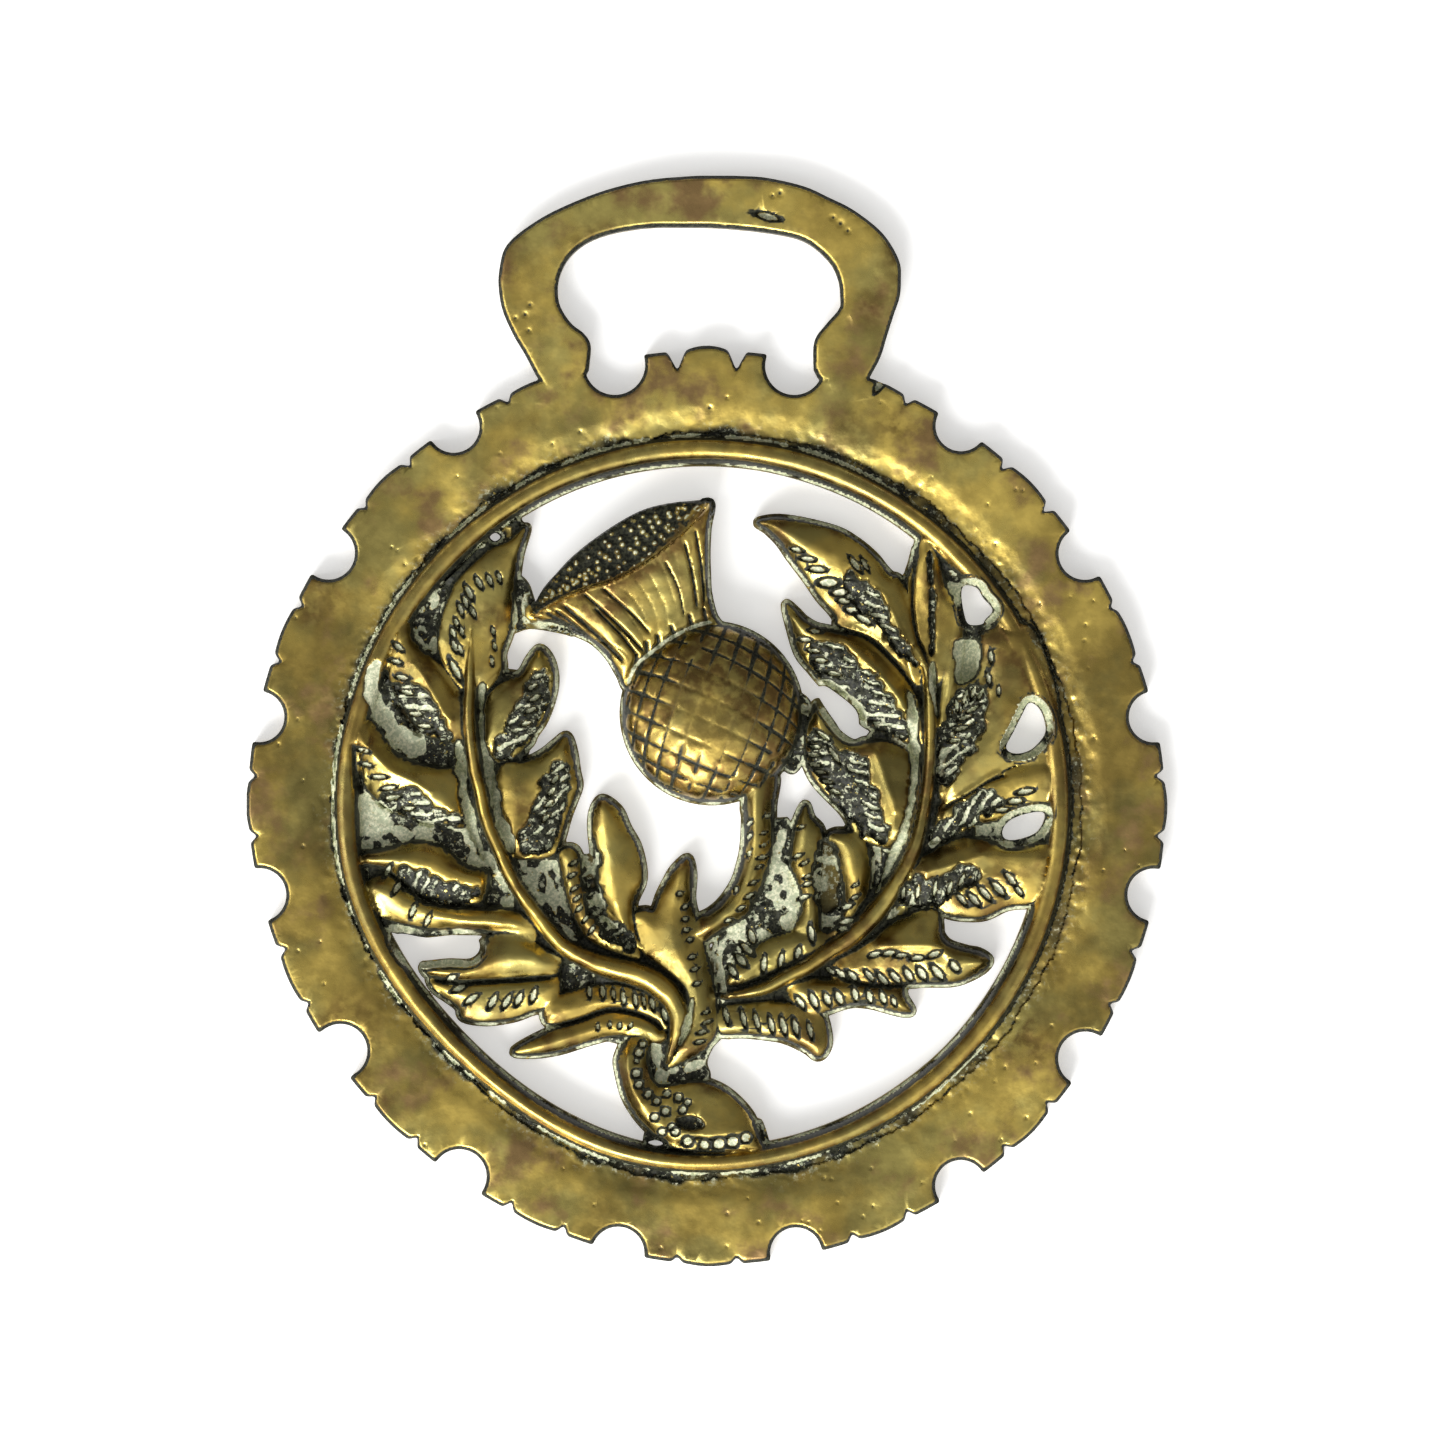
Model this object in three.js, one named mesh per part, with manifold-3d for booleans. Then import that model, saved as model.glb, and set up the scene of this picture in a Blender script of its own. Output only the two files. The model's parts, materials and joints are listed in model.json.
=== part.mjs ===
// Horse brass: one flat openwork casting. A scalloped ring with a strap loop on top frames a thistle
// between two leaf sprays. Millimetres. It lies on its flat back at z = 0 with its face up (+Z),
// and the strap loop points along +Y. The origin is under the centre of its bounding box.
import * as THREE from 'three';
import { mergeVertices } from 'three/addons/utils/BufferGeometryUtils.js';
import Module from 'manifold-3d';

// Ring
const ringDiameter = 76;
const ringThickness = 2.3;
const openingDiameter = 56.8;
const beadWidth = 1.9;
const beadHeight = 3.4;
const grooveWidth = 1.3;
const grooveDepth = 0.7;
const edgeRounding = 0.45;

// The ring's lower left side is drawn in, rim, groove and bead together.
const drawnInDepth = 1;
const drawnInAngle = 226;
const drawnInReach = 40;

// Scalloped edge: round bites with a wide and two small teeth between them
const biteCount = 16;
const biteRadius = 2.15;
const biteInset = 0.35;
const nickWidth = 0.95;
const nickDepth = 0.6;
const nickSpacing = 5;
const toothFall = 0.15;

// Strap loop
const loopAngle = 90;
const slotWidth = 23.4;
const slotRise = 4.7;
const slotDrop = 7.5;
const slotBayDepth = 3.4;
const slotNickDepth = 1.5;
const slotOffset = -0.6;
const slotLevel = 5.2;
const loopSideBar = 4.9;
const loopTopBar = 4.1;
const loopFootDrop = 15;
const loopThickness = 2.3;

// Relief heights above the back
const webHeight = 1.3;
const leafEdge = 2.3;
const leafCrest = 3.7;
const ribEdge = 3.1;
const ribCrest = 4.3;
const stemCrest = 3.9;
const heelCrest = 3.9;
const bulbEdge = 2.4;
const bulbCrest = 6.5;
const flareEdge = 2.4;
const flareCrest = 5.2;
const floretEdge = 2.7;
const draftMargin = 0.45;

// Net on the bulb
const bulbRadius = 7.2;
const netSpacing = 1.85;
const netWidth = 0.5;
const netDepth = 0.35;
const netAngles = [68, -23];

// The relief's own coordinates scale with the opening. They are drawn for one of 28.4 radius.
const drawnUnit = 1 / 28.4;

const ringRadius = ringDiameter / 2;
const openingRadius = openingDiameter / 2;
const drawn = openingRadius * drawnUnit;
const beadOuter = openingRadius + beadWidth;
const grooveOuter = beadOuter + grooveWidth;
const loopCentreY = ringRadius + slotLevel;
const loopTop = loopCentreY + slotRise + loopTopBar;
const ringCentreY = (ringRadius - loopTop) / 2;
const buried = 0.6;
const beadSteps = 72;
const degree = Math.PI / 180;

const wasm = await Module();
wasm.setup();

function solidOf(geometry) {
  geometry.deleteAttribute('normal');
  geometry.deleteAttribute('uv');
  const merged = mergeVertices(geometry, 1e-5);
  return new wasm.Manifold(new wasm.Mesh({
    numProp: 3,
    vertProperties: new Float32Array(merged.attributes.position.array),
    triVerts: new Uint32Array(merged.index.array),
  }));
}

// A skin through sections of equal length, each a list of [x, y, z], closed on itself or capped.
function loft(sections, closed = false) {
  const sides = sections[0].length;
  const indices = [];
  const spans = closed ? sections.length : sections.length - 1;
  for (let i = 0; i < spans; i += 1) {
    const here = i * sides;
    const next = ((i + 1) % sections.length) * sides;
    for (let j = 0; j < sides; j += 1) {
      const k = (j + 1) % sides;
      indices.push(here + j, here + k, next + k, here + j, next + k, next + j);
    }
  }
  if (!closed) {
    const last = (sections.length - 1) * sides;
    for (let j = 1; j < sides - 1; j += 1) {
      indices.push(0, j + 1, j);
      indices.push(last, last + j, last + j + 1);
    }
  }
  const geometry = new THREE.BufferGeometry();
  geometry.setAttribute('position', new THREE.Float32BufferAttribute(sections.flat(2), 3));
  geometry.setIndex(indices);
  return solidOf(geometry);
}

// A flat plate from the back up to a height, drawn as a list of [x, y].
function plate(points, top, bottom = -buried) {
  const shape = new THREE.Shape(points.map(([x, y]) => new THREE.Vector2(x, y)));
  const geometry = new THREE.ExtrudeGeometry(shape, { depth: top - bottom, bevelEnabled: false });
  geometry.translate(0, 0, bottom);
  return solidOf(geometry);
}

function scaled(points) {
  return points.map((point) => point.map((value) => value * drawn));
}

// How far the ring is drawn in at an angle
function drawnIn(angle) {
  const turn = ((angle / degree - drawnInAngle + 540) % 360) - 180;
  const share = Math.min(1, Math.abs(turn) / drawnInReach);
  return drawnInDepth * Math.cos((share * Math.PI) / 2) ** 2;
}

function arc(radius, from, to, steps) {
  return Array.from({ length: steps + 1 }, (_, i) => {
    const angle = (from + ((to - from) * i) / steps) * degree;
    return [radius * Math.cos(angle), radius * Math.sin(angle)];
  });
}

// One pitch of the scalloped edge, from a tooth's middle to the next bite's middle, as pairs of
// distance along the edge and depth below the full radius.
function halfPitch(isSlotBay, isSlotTooth) {
  const reach = (Math.PI * ringRadius) / biteCount;
  const depth = isSlotTooth ? slotNickDepth : nickDepth;
  const halfNick = nickWidth / 2;
  const nickAt = nickSpacing / 2;
  const half = [[0, 0], [nickAt - halfNick, toothFall], [nickAt, depth], [nickAt + halfNick, toothFall]];
  const bayDepth = isSlotBay ? slotBayDepth : biteInset + biteRadius;
  half.push([(nickAt + halfNick + reach - biteRadius) / 2, toothFall / 2]);
  for (const turn of [0, 30, 60, 90]) {
    const across = reach - biteRadius * Math.cos(turn * degree);
    half.push([across, biteInset + (bayDepth - biteInset) * Math.sin(turn * degree)]);
  }
  return half;
}

function edgeStations() {
  const stations = [];
  const pitch = 360 / biteCount;
  for (let i = 0; i < biteCount; i += 1) {
    const middle = i * pitch;
    const isTop = Math.abs(middle - loopAngle) < pitch / 2;
    const besideLeft = isTop || Math.abs(middle - pitch - loopAngle) < pitch / 2;
    const besideRight = isTop || Math.abs(middle + pitch - loopAngle) < pitch / 2;
    const before = halfPitch(besideLeft, isTop).slice(1, -1).reverse().map(([s, d]) => [-s, d]);
    const after = halfPitch(besideRight, isTop);
    for (const [along, depth] of [...before, ...after]) {
      stations.push({ angle: middle * degree + along / ringRadius, depth });
    }
  }
  return stations;
}

function makeRim() {
  return loft(edgeStations().map(({ angle, depth }) => {
    const radius = ringRadius - depth - drawnIn(angle);
    const inner = grooveOuter - drawnIn(angle);
    const profile = [
      [radius, -buried],
      [inner, -buried],
      [inner, ringThickness],
      [radius - edgeRounding * 1.3, ringThickness],
      [radius - edgeRounding * 0.3, ringThickness - edgeRounding * 0.4],
      [radius, ringThickness - edgeRounding * 1.3],
    ];
    return profile.map(([r, z]) => [r * Math.cos(angle), r * Math.sin(angle), z]);
  }), true);
}

// The groove's floor and the half-round bead inside it
function makeBead() {
  const floor = ringThickness - grooveDepth;
  const middle = openingRadius + beadWidth / 2;
  const profile = [
    [grooveOuter + buried, -buried],
    [openingRadius, -buried],
  ];
  for (const turn of [165, 125, 90, 55, 15]) {
    const rise = Math.sin(turn * degree) * (beadHeight - floor);
    profile.push([middle + (Math.cos(turn * degree) * beadWidth) / 2, floor + rise]);
  }
  profile.push([beadOuter, floor], [grooveOuter + buried, floor]);
  const sections = Array.from({ length: beadSteps }, (_, i) => {
    const angle = (i * 360 * degree) / beadSteps;
    return profile.map(([r, z]) => {
      const radius = r - drawnIn(angle);
      return [radius * Math.cos(angle), radius * Math.sin(angle), z];
    });
  });
  return loft(sections, true);
}

// The strap loop: a flat bar swept round the slot from foot to foot.
function makeLoop() {
  const outerAcross = slotWidth / 2 + loopSideBar;
  const sections = [];
  const section = (outer, inner) => {
    const across = [inner[0] - outer[0], inner[1] - outer[1]];
    const width = Math.hypot(...across);
    const at = (distance) => [outer[0] + (across[0] * distance) / width, outer[1] + (across[1] * distance) / width];
    return [
      [...at(0), -buried],
      [...at(width), -buried],
      [...at(width), loopThickness - edgeRounding * 1.3],
      [...at(width - edgeRounding * 1.3), loopThickness],
      [...at(edgeRounding * 1.3), loopThickness],
      [...at(0), loopThickness - edgeRounding * 1.3],
    ];
  };
  const point = (turn, across, rise, drop) => {
    const sine = Math.sin(turn * degree);
    return [
      slotOffset + across * Math.cos(turn * degree),
      loopCentreY + (sine > 0 ? rise : drop) * sine,
    ];
  };
  const footTurn = -36;
  const steps = 26;
  for (let i = 0; i <= steps; i += 1) {
    const turn = footTurn + ((180 - 2 * footTurn) * i) / steps;
    sections.push(section(
      point(turn, outerAcross, slotRise + loopTopBar, loopFootDrop),
      point(turn, slotWidth / 2, slotRise, slotDrop),
    ));
  }
  const footSection = (side) => section(
    [slotOffset + side * outerAcross * 0.74, grooveOuter * 0.95],
    [slotOffset + side * (slotWidth / 2) * 0.8, grooveOuter * 0.97],
  );
  return loft([footSection(1), ...sections, footSection(-1)]);
}

// A raised blade: [x, y, half width] along its spine, with a crest line and sloping flanks.
// The crest leans to the left of the travel for a positive lean.
function blade(spine, { lean = 0, edge = leafEdge, crest = leafCrest, steps = 5, margin = draftMargin } = {}) {
  const curve = new THREE.CatmullRomCurve3(spine.map((point) => new THREE.Vector3(...point)));
  const widest = Math.max(...spine.map((point) => point[2]));
  const sections = [];
  for (let i = 0; i <= steps; i += 1) {
    const { x, y, z } = curve.getPoint(i / steps);
    const half = Math.max(z, 0.12);
    const heading = curve.getTangent(i / steps).setZ(0).normalize();
    const top = edge + (crest - edge) * Math.sqrt(half / widest);
    const at = (across, height) => [
      (x - heading.y * across) * drawn,
      (y + heading.x * across) * drawn,
      height,
    ];
    sections.push([
      at(-half - margin, -buried),
      at(half + margin, -buried),
      at(half, edge),
      at(half * lean, top),
      at(-half, edge),
    ]);
  }
  return loft(sections);
}

// Left spray, from its top lobe down and round to the middle
const leftRib = [
  [-19.3, 14.8, 0.35], [-19.6, 8, 0.5], [-18.4, 0, 0.55], [-15.3, -7.2, 0.65],
  [-10.6, -12.3, 0.8], [-5, -14.2, 0.95], [-2.5, -17.2, 0.85], [-3.2, -21.2, 0.15],
];
const leftLobes = [
  { spine: [[-19.2, 9.5, 1.2], [-19.5, 12.8, 2.7], [-18.9, 16, 2.7], [-17.6, 19.2, 2.1], [-15.3, 22.6, 0.1]], lean: -0.5 },
  { spine: [[-20.4, 6, 1.3], [-22.7, 8.7, 2.2], [-24.5, 11.6, 1.9], [-25, 15.8, 0.1]], lean: -0.2 },
  { spine: [[-19.4, -0.9, 1.2], [-22.2, 0.6, 2.2], [-24.8, 2, 2.3], [-27, 3.6, 1.8], [-28.4, 6.2, 0.7]], lean: -0.1 },
  { spine: [[-17.6, -6.9, 0.8], [-20, -6.3, 1.7], [-23, -5.4, 2.3], [-27.8, -4.6, 0.9]], lean: -0.3 },
  { spine: [[-14.5, -10.5, 0.7], [-18.4, -9.4, 0.9], [-22.4, -8.9, 1.1], [-27.6, -6.9, 1.3]], lean: 0.1 },
  { spine: [[-12.4, -13.1, 0.8], [-15.6, -12.4, 1.6], [-18.6, -13, 1.3], [-23.4, -13.5, 0.15]], lean: 0.1 },
  { spine: [[-12.4, -14.8, 0.8], [-15, -15.8, 1.4], [-18.3, -16, 1.7], [-22.9, -14.3, 0.15]], lean: -0.5 },
  { spine: [[-3.2, -17.6, 0.6], [-6, -16, 0.9], [-9.4, -16.1, 1.1], [-13.2, -17.3, 0.7]], lean: 0 },
  { spine: [[-3.8, -18.7, 0.6], [-7.4, -18, 0.9], [-11, -18.8, 1], [-15.9, -20.2, 0.1]], lean: 0 },
  { spine: [[-18.2, 3.4, 0.8], [-16.5, 5.6, 2], [-15.4, 8.6, 2.3], [-14.2, 11, 1.3], [-13.8, 13, 0.1]], lean: 0.3 },
  { spine: [[-14.8, -4.4, 0.8], [-13.9, -1.6, 2.2], [-13.8, 1.6, 2.8], [-12.4, 4.2, 1.3], [-11.6, 5.8, 0.1]], lean: 0.3 },
  { spine: [[-5.8, -11.9, 0.8], [-8.8, -10.6, 1], [-10.7, -7.8, 1], [-11.3, -3.7, 0.8]], lean: 0 },
  { spine: [[-6.2, -11.8, 1], [-7, -8, 1.5], [-7.5, -4, 1.6], [-8.6, 0.6, 0.1]], lean: -0.2 },
  { spine: [[-3.3, -21.5, 0.3], [-0.8, -19.4, 1.1], [-0.4, -15.8, 1.2], [-2.6, -12, 2.4], [-2.9, -8.2, 1.7], [-1.6, -4.4, 0.1]], lean: 0.3 },
];

// Right spray, from its top lobe down and round to the middle
const rightRib = [
  [15, 16.5, 0.3], [17.9, 11, 0.45], [18.4, 5, 0.5], [17.4, -2.5, 0.6],
  [14.4, -8.2, 0.75], [9.6, -12.4, 0.65], [5, -14.9, 0.55], [1.2, -15.8, 0.1],
];
const rightLobes = [
  { spine: [[17.9, 10.2, 0.9], [15.2, 14.8, 2.6], [11.8, 18.8, 3], [8, 21.9, 1.9], [4.3, 23.4, 0.1]], lean: -0.2 },
  { spine: [[17.6, 5.2, 0.9], [15.2, 8.6, 2.2], [11.6, 11.8, 2.3], [8.4, 13.9, 1.3], [6.5, 16.6, 0.1]], lean: -0.2 },
  { spine: [[16.2, -4, 0.8], [14.2, 0, 2.8], [12.2, 3, 3], [10, 5.2, 1.7], [9.2, 8.5, 0.1]], lean: -0.2 },
  { spine: [[8.7, -11, 0.9], [8.5, -8, 0.8], [8.1, -4.6, 1.25], [8.1, 0.1, 0.1]], lean: 0 },
  { spine: [[10, -10.6, 0.9], [12, -8, 1.1], [12.3, -5, 1.15], [10.9, -2.2, 0.3]], lean: 0 },
  { spine: [[10.2, -10.8, 0.8], [6.5, -11.8, 1.2], [2.2, -14, 0.9]], lean: 0, steps: 4 },
  { spine: [[18.6, 10.2, 0.9], [18.9, 14, 1.7], [18.5, 17.6, 1.7], [17.8, 22.2, 0.2]], lean: 0.3 },
  { spine: [[19.2, 6.6, 0.6], [20.1, 10.5, 0.9], [20.5, 14, 0.9], [20.8, 17, 0.3]], lean: 0, steps: 4 },
  { spine: [[19.2, 0.6, 0.9], [22, 4.5, 1.5], [24, 8, 1.5], [25.8, 12.4, 0.7]], lean: 0 },
  { spine: [[18.6, -0.6, 0.8], [22.6, 1, 1.3], [28, 2.7, 1.1]], lean: 0.2, steps: 4 },
  { spine: [[16, -5.6, 1], [19.4, -6, 2.5], [23.6, -5.8, 2.9], [28.2, -4.6, 1.2]], lean: 0.4 },
  { spine: [[12.4, -10.8, 0.9], [15, -12, 2.4], [18.4, -12, 2.8], [20.8, -12.9, 1.5], [23.4, -12.9, 0.1]], lean: 0.3 },
  { spine: [[8.2, -14.1, 1], [10.6, -15, 1.8], [14, -15.2, 1.4], [16.8, -17.2, 0.1]], lean: 0.4 },
  { spine: [[0.6, -17.2, 0.8], [4, -17.5, 1.4], [7.8, -18.2, 1.6], [9.6, -20.9, 0.1]], lean: 0.3 },
];

// Low webs under the sprays: where they run along the ring, and their free edges
const leftWeb = {
  along: [127, 201],
  edge: [
    [-18.7, -10.2], [-18.6, -13.2], [-19.6, -17], [-12.8, -17.8], [-12.6, -20], [-3.2, -21.4], [0.2, -19.6],
    [-0.6, -11], [-3.6, -8.8], [-5.6, -9.6], [-6.4, -3], [-9, -2], [-9.4, -3.9], [-12, -4.4], [-11.4, 2.6],
    [-15, 3.2], [-13, 9], [-16.3, 10.2], [-16.8, 13], [-15.9, 19], [-16.6, 22.4],
  ],
};
const rightWeb = {
  along: [-17, 51],
  edge: [
    [16.6, 20.4], [15.6, 18.4], [11, 14.8], [13.6, 9.4], [13.6, 5.6], [9.6, 4.6], [9.2, 2], [11.4, -1.2],
    [10.6, -2.6], [8.4, -2.2], [6.8, -1.2], [4.2, -1], [3, -7.4], [-0.5, -9], [-1, -18.4], [0.6, -18.9],
    [9.4, -19.8], [9.8, -17.2], [16.4, -16.6], [17.2, -14.8], [20.6, -14.4], [19.4, -10.2], [18.9, -8.8],
    [22, -9.4], [25.4, -8.4],
  ],
};
const bulbWeb = [[6, 4], [8.2, 4.6], [8.6, 8], [7, 9.4]];
const flareWeb = [[-16.4, 14.4], [-11, 14], [-11, 15.6], [-14.2, 16], [-15, 18.4], [-16.2, 18.6]];
const heelWeb = [[-7.4, -19.6], [-2, -20.6], [1.2, -19], [0.1, -22.4], [-3, -24], [-7, -23]];

// Holes pierced through the webs, as [x, y] round each
const webHoles = [
  [[21, 17.4], [21.4, 15.2], [22.8, 14.9], [23.6, 16], [22.9, 17.2], [22, 18.2]],
  [[25, 4.5], [26.5, 4.7], [27.8, 6], [27.6, 7.3], [26.5, 8.6], [25.6, 7]],
  [[24.4, -2.4], [25.4, -2.9], [27.4, -2], [27.8, -0.9], [26.6, -0.6], [25.2, -1.4]],
  [[12.4, 6.9], [11.3, 6], [11.5, 5.1], [12.5, 4.8], [13.3, 5.7], [13, 6.6]],
];

function webPlate({ along, edge }) {
  const ringSide = arc(beadOuter + grooveWidth / 2, along[0], along[1], 14);
  return plate([...ringSide, ...scaled(edge)], webHeight);
}

function makeSpray(rib, lobes) {
  const ribBlade = blade(rib, { edge: ribEdge, crest: ribCrest, steps: 16 });
  return lobes.reduce((spray, { spine, ...shape }) => spray.add(blade(spine, shape)), ribBlade);
}

// The bulb's height above the back at a place relative to its centre
function bulbRise(x, y) {
  const inside = Math.max(0, 1 - (x * x + y * y) / (bulbRadius * drawn) ** 2);
  return bulbEdge + (bulbCrest - bulbEdge) * Math.sqrt(inside);
}

// The bulb: a dome cut out of a patch of raised cells, parted by the two families of net lines.
function makeBulb() {
  const centre = [0.45 * drawn, 7.7 * drawn];
  const radius = bulbRadius * drawn;
  const reach = Math.ceil(radius / netSpacing) + 1;
  const [first, second] = netAngles.map((angle) => [Math.cos(angle * degree), Math.sin(angle * degree)]);
  const skew = first[0] * second[1] - first[1] * second[0];
  const lines = [];
  for (let i = -reach; i <= reach; i += 1) {
    const middle = i * netSpacing;
    lines.push({ at: middle - netWidth / 2, low: false });
    lines.push({ at: middle, low: true });
    lines.push({ at: middle + netWidth / 2, low: false });
  }
  const sections = lines.map((row) => {
    const top = lines.map((column) => {
      const x = (row.at * second[0] + column.at * first[0]) / Math.abs(skew);
      const y = (row.at * second[1] + column.at * first[1]) / Math.abs(skew);
      const sink = row.low || column.low ? netDepth : 0;
      return [centre[0] + x, centre[1] + y, bulbRise(x, y) - sink];
    });
    const [start, end] = [top[0], top[top.length - 1]];
    return [[start[0], start[1], -buried], [end[0], end[1], -buried], ...top.reverse()];
  });
  const patch = loft(sections);
  const skirt = solidOf(new THREE.CylinderGeometry(radius, radius + draftMargin, bulbCrest + buried, 48)
    .rotateX(Math.PI / 2)
    .translate(centre[0], centre[1], bulbCrest / 2 - buried / 2));
  return patch.intersect(skirt);
}

// The thistle's flare and its floret disc: rows from the neck out to the disc's far edge.
// Each row runs from a left to a right end, sags towards the neck and carries its own crown.
function makeFlower() {
  const rows = [
    { left: [-5.2, 9.4], right: [1.4, 14.6], sag: 0, edge: flareEdge, crown: flareCrest - 0.9 },
    { left: [-8.1, 12.3], right: [0.2, 17.4], sag: 0.3, edge: flareEdge, crown: flareCrest - 1 },
    { left: [-11, 14.4], right: [0, 20.8], sag: 0.8, edge: flareEdge, crown: flareCrest - 0.5 },
    { left: [-14.2, 15.8], right: [0.2, 25.1], sag: 1.3, edge: flareEdge, crown: flareCrest },
    { left: [-14.3, 16.2], right: [0.3, 25.2], sag: 0.6, edge: floretEdge, crown: flareCrest - 0.7 },
    { left: [-14.3, 16.6], right: [0.4, 25.3], sag: -2.6, edge: floretEdge, crown: floretEdge + 0.3 },
  ];
  const across = 8;
  const sections = rows.map(({ left, right, sag, edge, crown }) => {
    const run = [right[0] - left[0], right[1] - left[1]];
    const length = Math.hypot(...run);
    const top = Array.from({ length: across + 1 }, (_, i) => {
      const share = i / across;
      const bow = 4 * share * (1 - share);
      return [
        (left[0] + run[0] * share + (run[1] / length) * sag * bow) * drawn,
        (left[1] + run[1] * share - (run[0] / length) * sag * bow) * drawn,
        edge + (crown - edge) * Math.sqrt(bow),
      ];
    });
    const foot = top.map(([x, y]) => [x, y, -buried]);
    return [...foot, ...top.reverse()];
  });
  return loft(sections.reverse());
}

function makeStem() {
  const path = [[4.1, 2, 1.1], [4.3, -1.5, 1.15], [3.9, -5, 1.15], [2.4, -8, 1.05], [-0.6, -10.6, 0.8]];
  return blade(path, { edge: leafEdge, crest: stemCrest, steps: 8 });
}

// The heel where the stalks end on the ring, with a small pit in it
function makeHeel() {
  const path = [
    [-5.7, -19.2, 0.8], [-5.9, -21.4, 1.2], [-4.8, -23.9, 1.8], [-1.8, -25.3, 2.5], [1.6, -26, 2.2], [4.4, -27.8, 0.7],
  ];
  const body = blade(path, { edge: leafEdge, crest: heelCrest, steps: 10 });
  const pit = [[-2.8, -25.9], [-1.8, -25.3], [-0.2, -26.1], [-1.6, -26.6]];
  return body.subtract(plate(scaled(pit), heelCrest + buried, heelCrest - 0.7));
}

function makeBrass() {
  let body = makeRim().add(makeBead()).add(makeLoop());
  body = body.add(webPlate(leftWeb)).add(webPlate(rightWeb));
  for (const web of [bulbWeb, flareWeb, heelWeb]) {
    body = body.add(plate(scaled(web), webHeight));
  }
  for (const hole of webHoles) {
    body = body.subtract(plate(scaled(hole), leafCrest + buried));
  }
  body = body.add(makeSpray(leftRib, leftLobes)).add(makeSpray(rightRib, rightLobes));
  body = body.add(makeStem()).add(makeHeel()).add(makeFlower()).add(makeBulb());
  const reach = ringDiameter + loopTop;
  const below = new THREE.BoxGeometry(reach * 2, reach * 2, buried * 4).translate(0, 0, -buried * 2);
  return body.subtract(solidOf(below));
}

function geometryOf(solid) {
  const { vertProperties, triVerts } = solid.getMesh();
  const geometry = new THREE.BufferGeometry();
  geometry.setAttribute('position', new THREE.BufferAttribute(vertProperties, 3));
  geometry.setIndex(new THREE.BufferAttribute(triVerts, 1));
  return geometry;
}

const brass = new THREE.MeshStandardMaterial({ color: 0x9c8438, roughness: 0.34, metalness: 1 });
const piece = new THREE.Mesh(geometryOf(makeBrass()), brass);
piece.name = 'horse_brass';
piece.position.y = ringCentreY;

const group = new THREE.Group();
group.add(piece);
export default group;
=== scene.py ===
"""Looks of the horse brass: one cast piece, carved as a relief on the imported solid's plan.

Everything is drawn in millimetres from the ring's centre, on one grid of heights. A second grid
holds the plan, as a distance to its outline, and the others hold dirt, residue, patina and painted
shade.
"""

import json
import math

import bpy
import numpy as np
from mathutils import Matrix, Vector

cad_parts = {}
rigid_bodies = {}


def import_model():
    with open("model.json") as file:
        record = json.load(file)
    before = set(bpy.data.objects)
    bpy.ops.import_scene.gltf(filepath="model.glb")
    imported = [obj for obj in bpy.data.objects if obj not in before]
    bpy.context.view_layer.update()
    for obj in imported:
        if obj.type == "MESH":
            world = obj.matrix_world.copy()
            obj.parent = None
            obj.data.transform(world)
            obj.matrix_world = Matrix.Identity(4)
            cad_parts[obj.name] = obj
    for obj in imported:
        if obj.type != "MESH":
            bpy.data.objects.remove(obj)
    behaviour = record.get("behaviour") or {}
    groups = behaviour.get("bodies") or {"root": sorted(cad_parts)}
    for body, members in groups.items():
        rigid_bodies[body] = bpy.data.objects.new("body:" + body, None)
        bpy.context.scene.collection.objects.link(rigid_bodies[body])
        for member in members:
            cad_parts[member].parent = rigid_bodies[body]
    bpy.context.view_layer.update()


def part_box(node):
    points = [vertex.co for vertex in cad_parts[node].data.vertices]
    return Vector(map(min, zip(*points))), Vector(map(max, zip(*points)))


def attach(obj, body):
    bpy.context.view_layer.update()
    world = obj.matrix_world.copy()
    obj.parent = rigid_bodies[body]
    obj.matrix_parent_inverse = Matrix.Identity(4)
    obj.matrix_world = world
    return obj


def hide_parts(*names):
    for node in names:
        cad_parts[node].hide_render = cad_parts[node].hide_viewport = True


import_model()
low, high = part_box("horse_brass")

# Places of the drawing in the frame: MM is one millimetre in metres
RING = 38.0
MM = (high.x - low.x) / 2 / RING
CENTRE_X = (high.x + low.x) / 2
CENTRE_Y = low.y + RING * MM
TOP_Z = high.z / MM

# Heights above the back in mm, as in the solid
WEB = 1.3
FLASH = 1.2
PLATE = 2.3
BEAD = 3.4
GROOVE_FLOOR = 1.6
RIB_EDGE, RIB_CREST = 3.0, 4.3
FLARE_EDGE, DISC_EDGE_TOP, BULB_EDGE = 2.4, 2.7, 2.5
LOW_GROUND = 1.75           # webs and margins lie below it, and lobes above

# Sizes in plan in mm
OPENING_LEFT = 0.35         # the opening's centre lies this far left of the ring's
BEAD_RADIUS = 29.38
GROOVE_RADIUS = 30.9        # the groove's floor ends here
BANK_WIDTH = 2.2            # the slope from the groove up to the rim
ORNAMENT_RADIUS = 28.4      # sprays and thistle lie inside it
BULB_X, BULB_Y, BULB_R = 0.4, 7.65, 7.25
SKIRT = 0.6                 # a form's wall is drawn this far outside its outline
BOX_GAP = 0.02              # the plan stays this far inside the solid's box

# The grid, which reaches a little past the casting
STEP = 0.13
TRIANGLES = 192000
x_axis = np.arange(-38.6, 38.7, STEP)
y_axis = np.arange(-38.6, 52.7, STEP)
X, Y = np.meshgrid(x_axis, y_axis)
R = np.hypot(X, Y)
TURN = np.degrees(np.arctan2(Y, X)) % 360


# Fields
def smooth(t):
    """A soft step from 0 at t = 0 to 1 at t = 1."""
    t = np.clip(t, 0, 1)
    return t * t * (3 - 2 * t)


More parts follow.
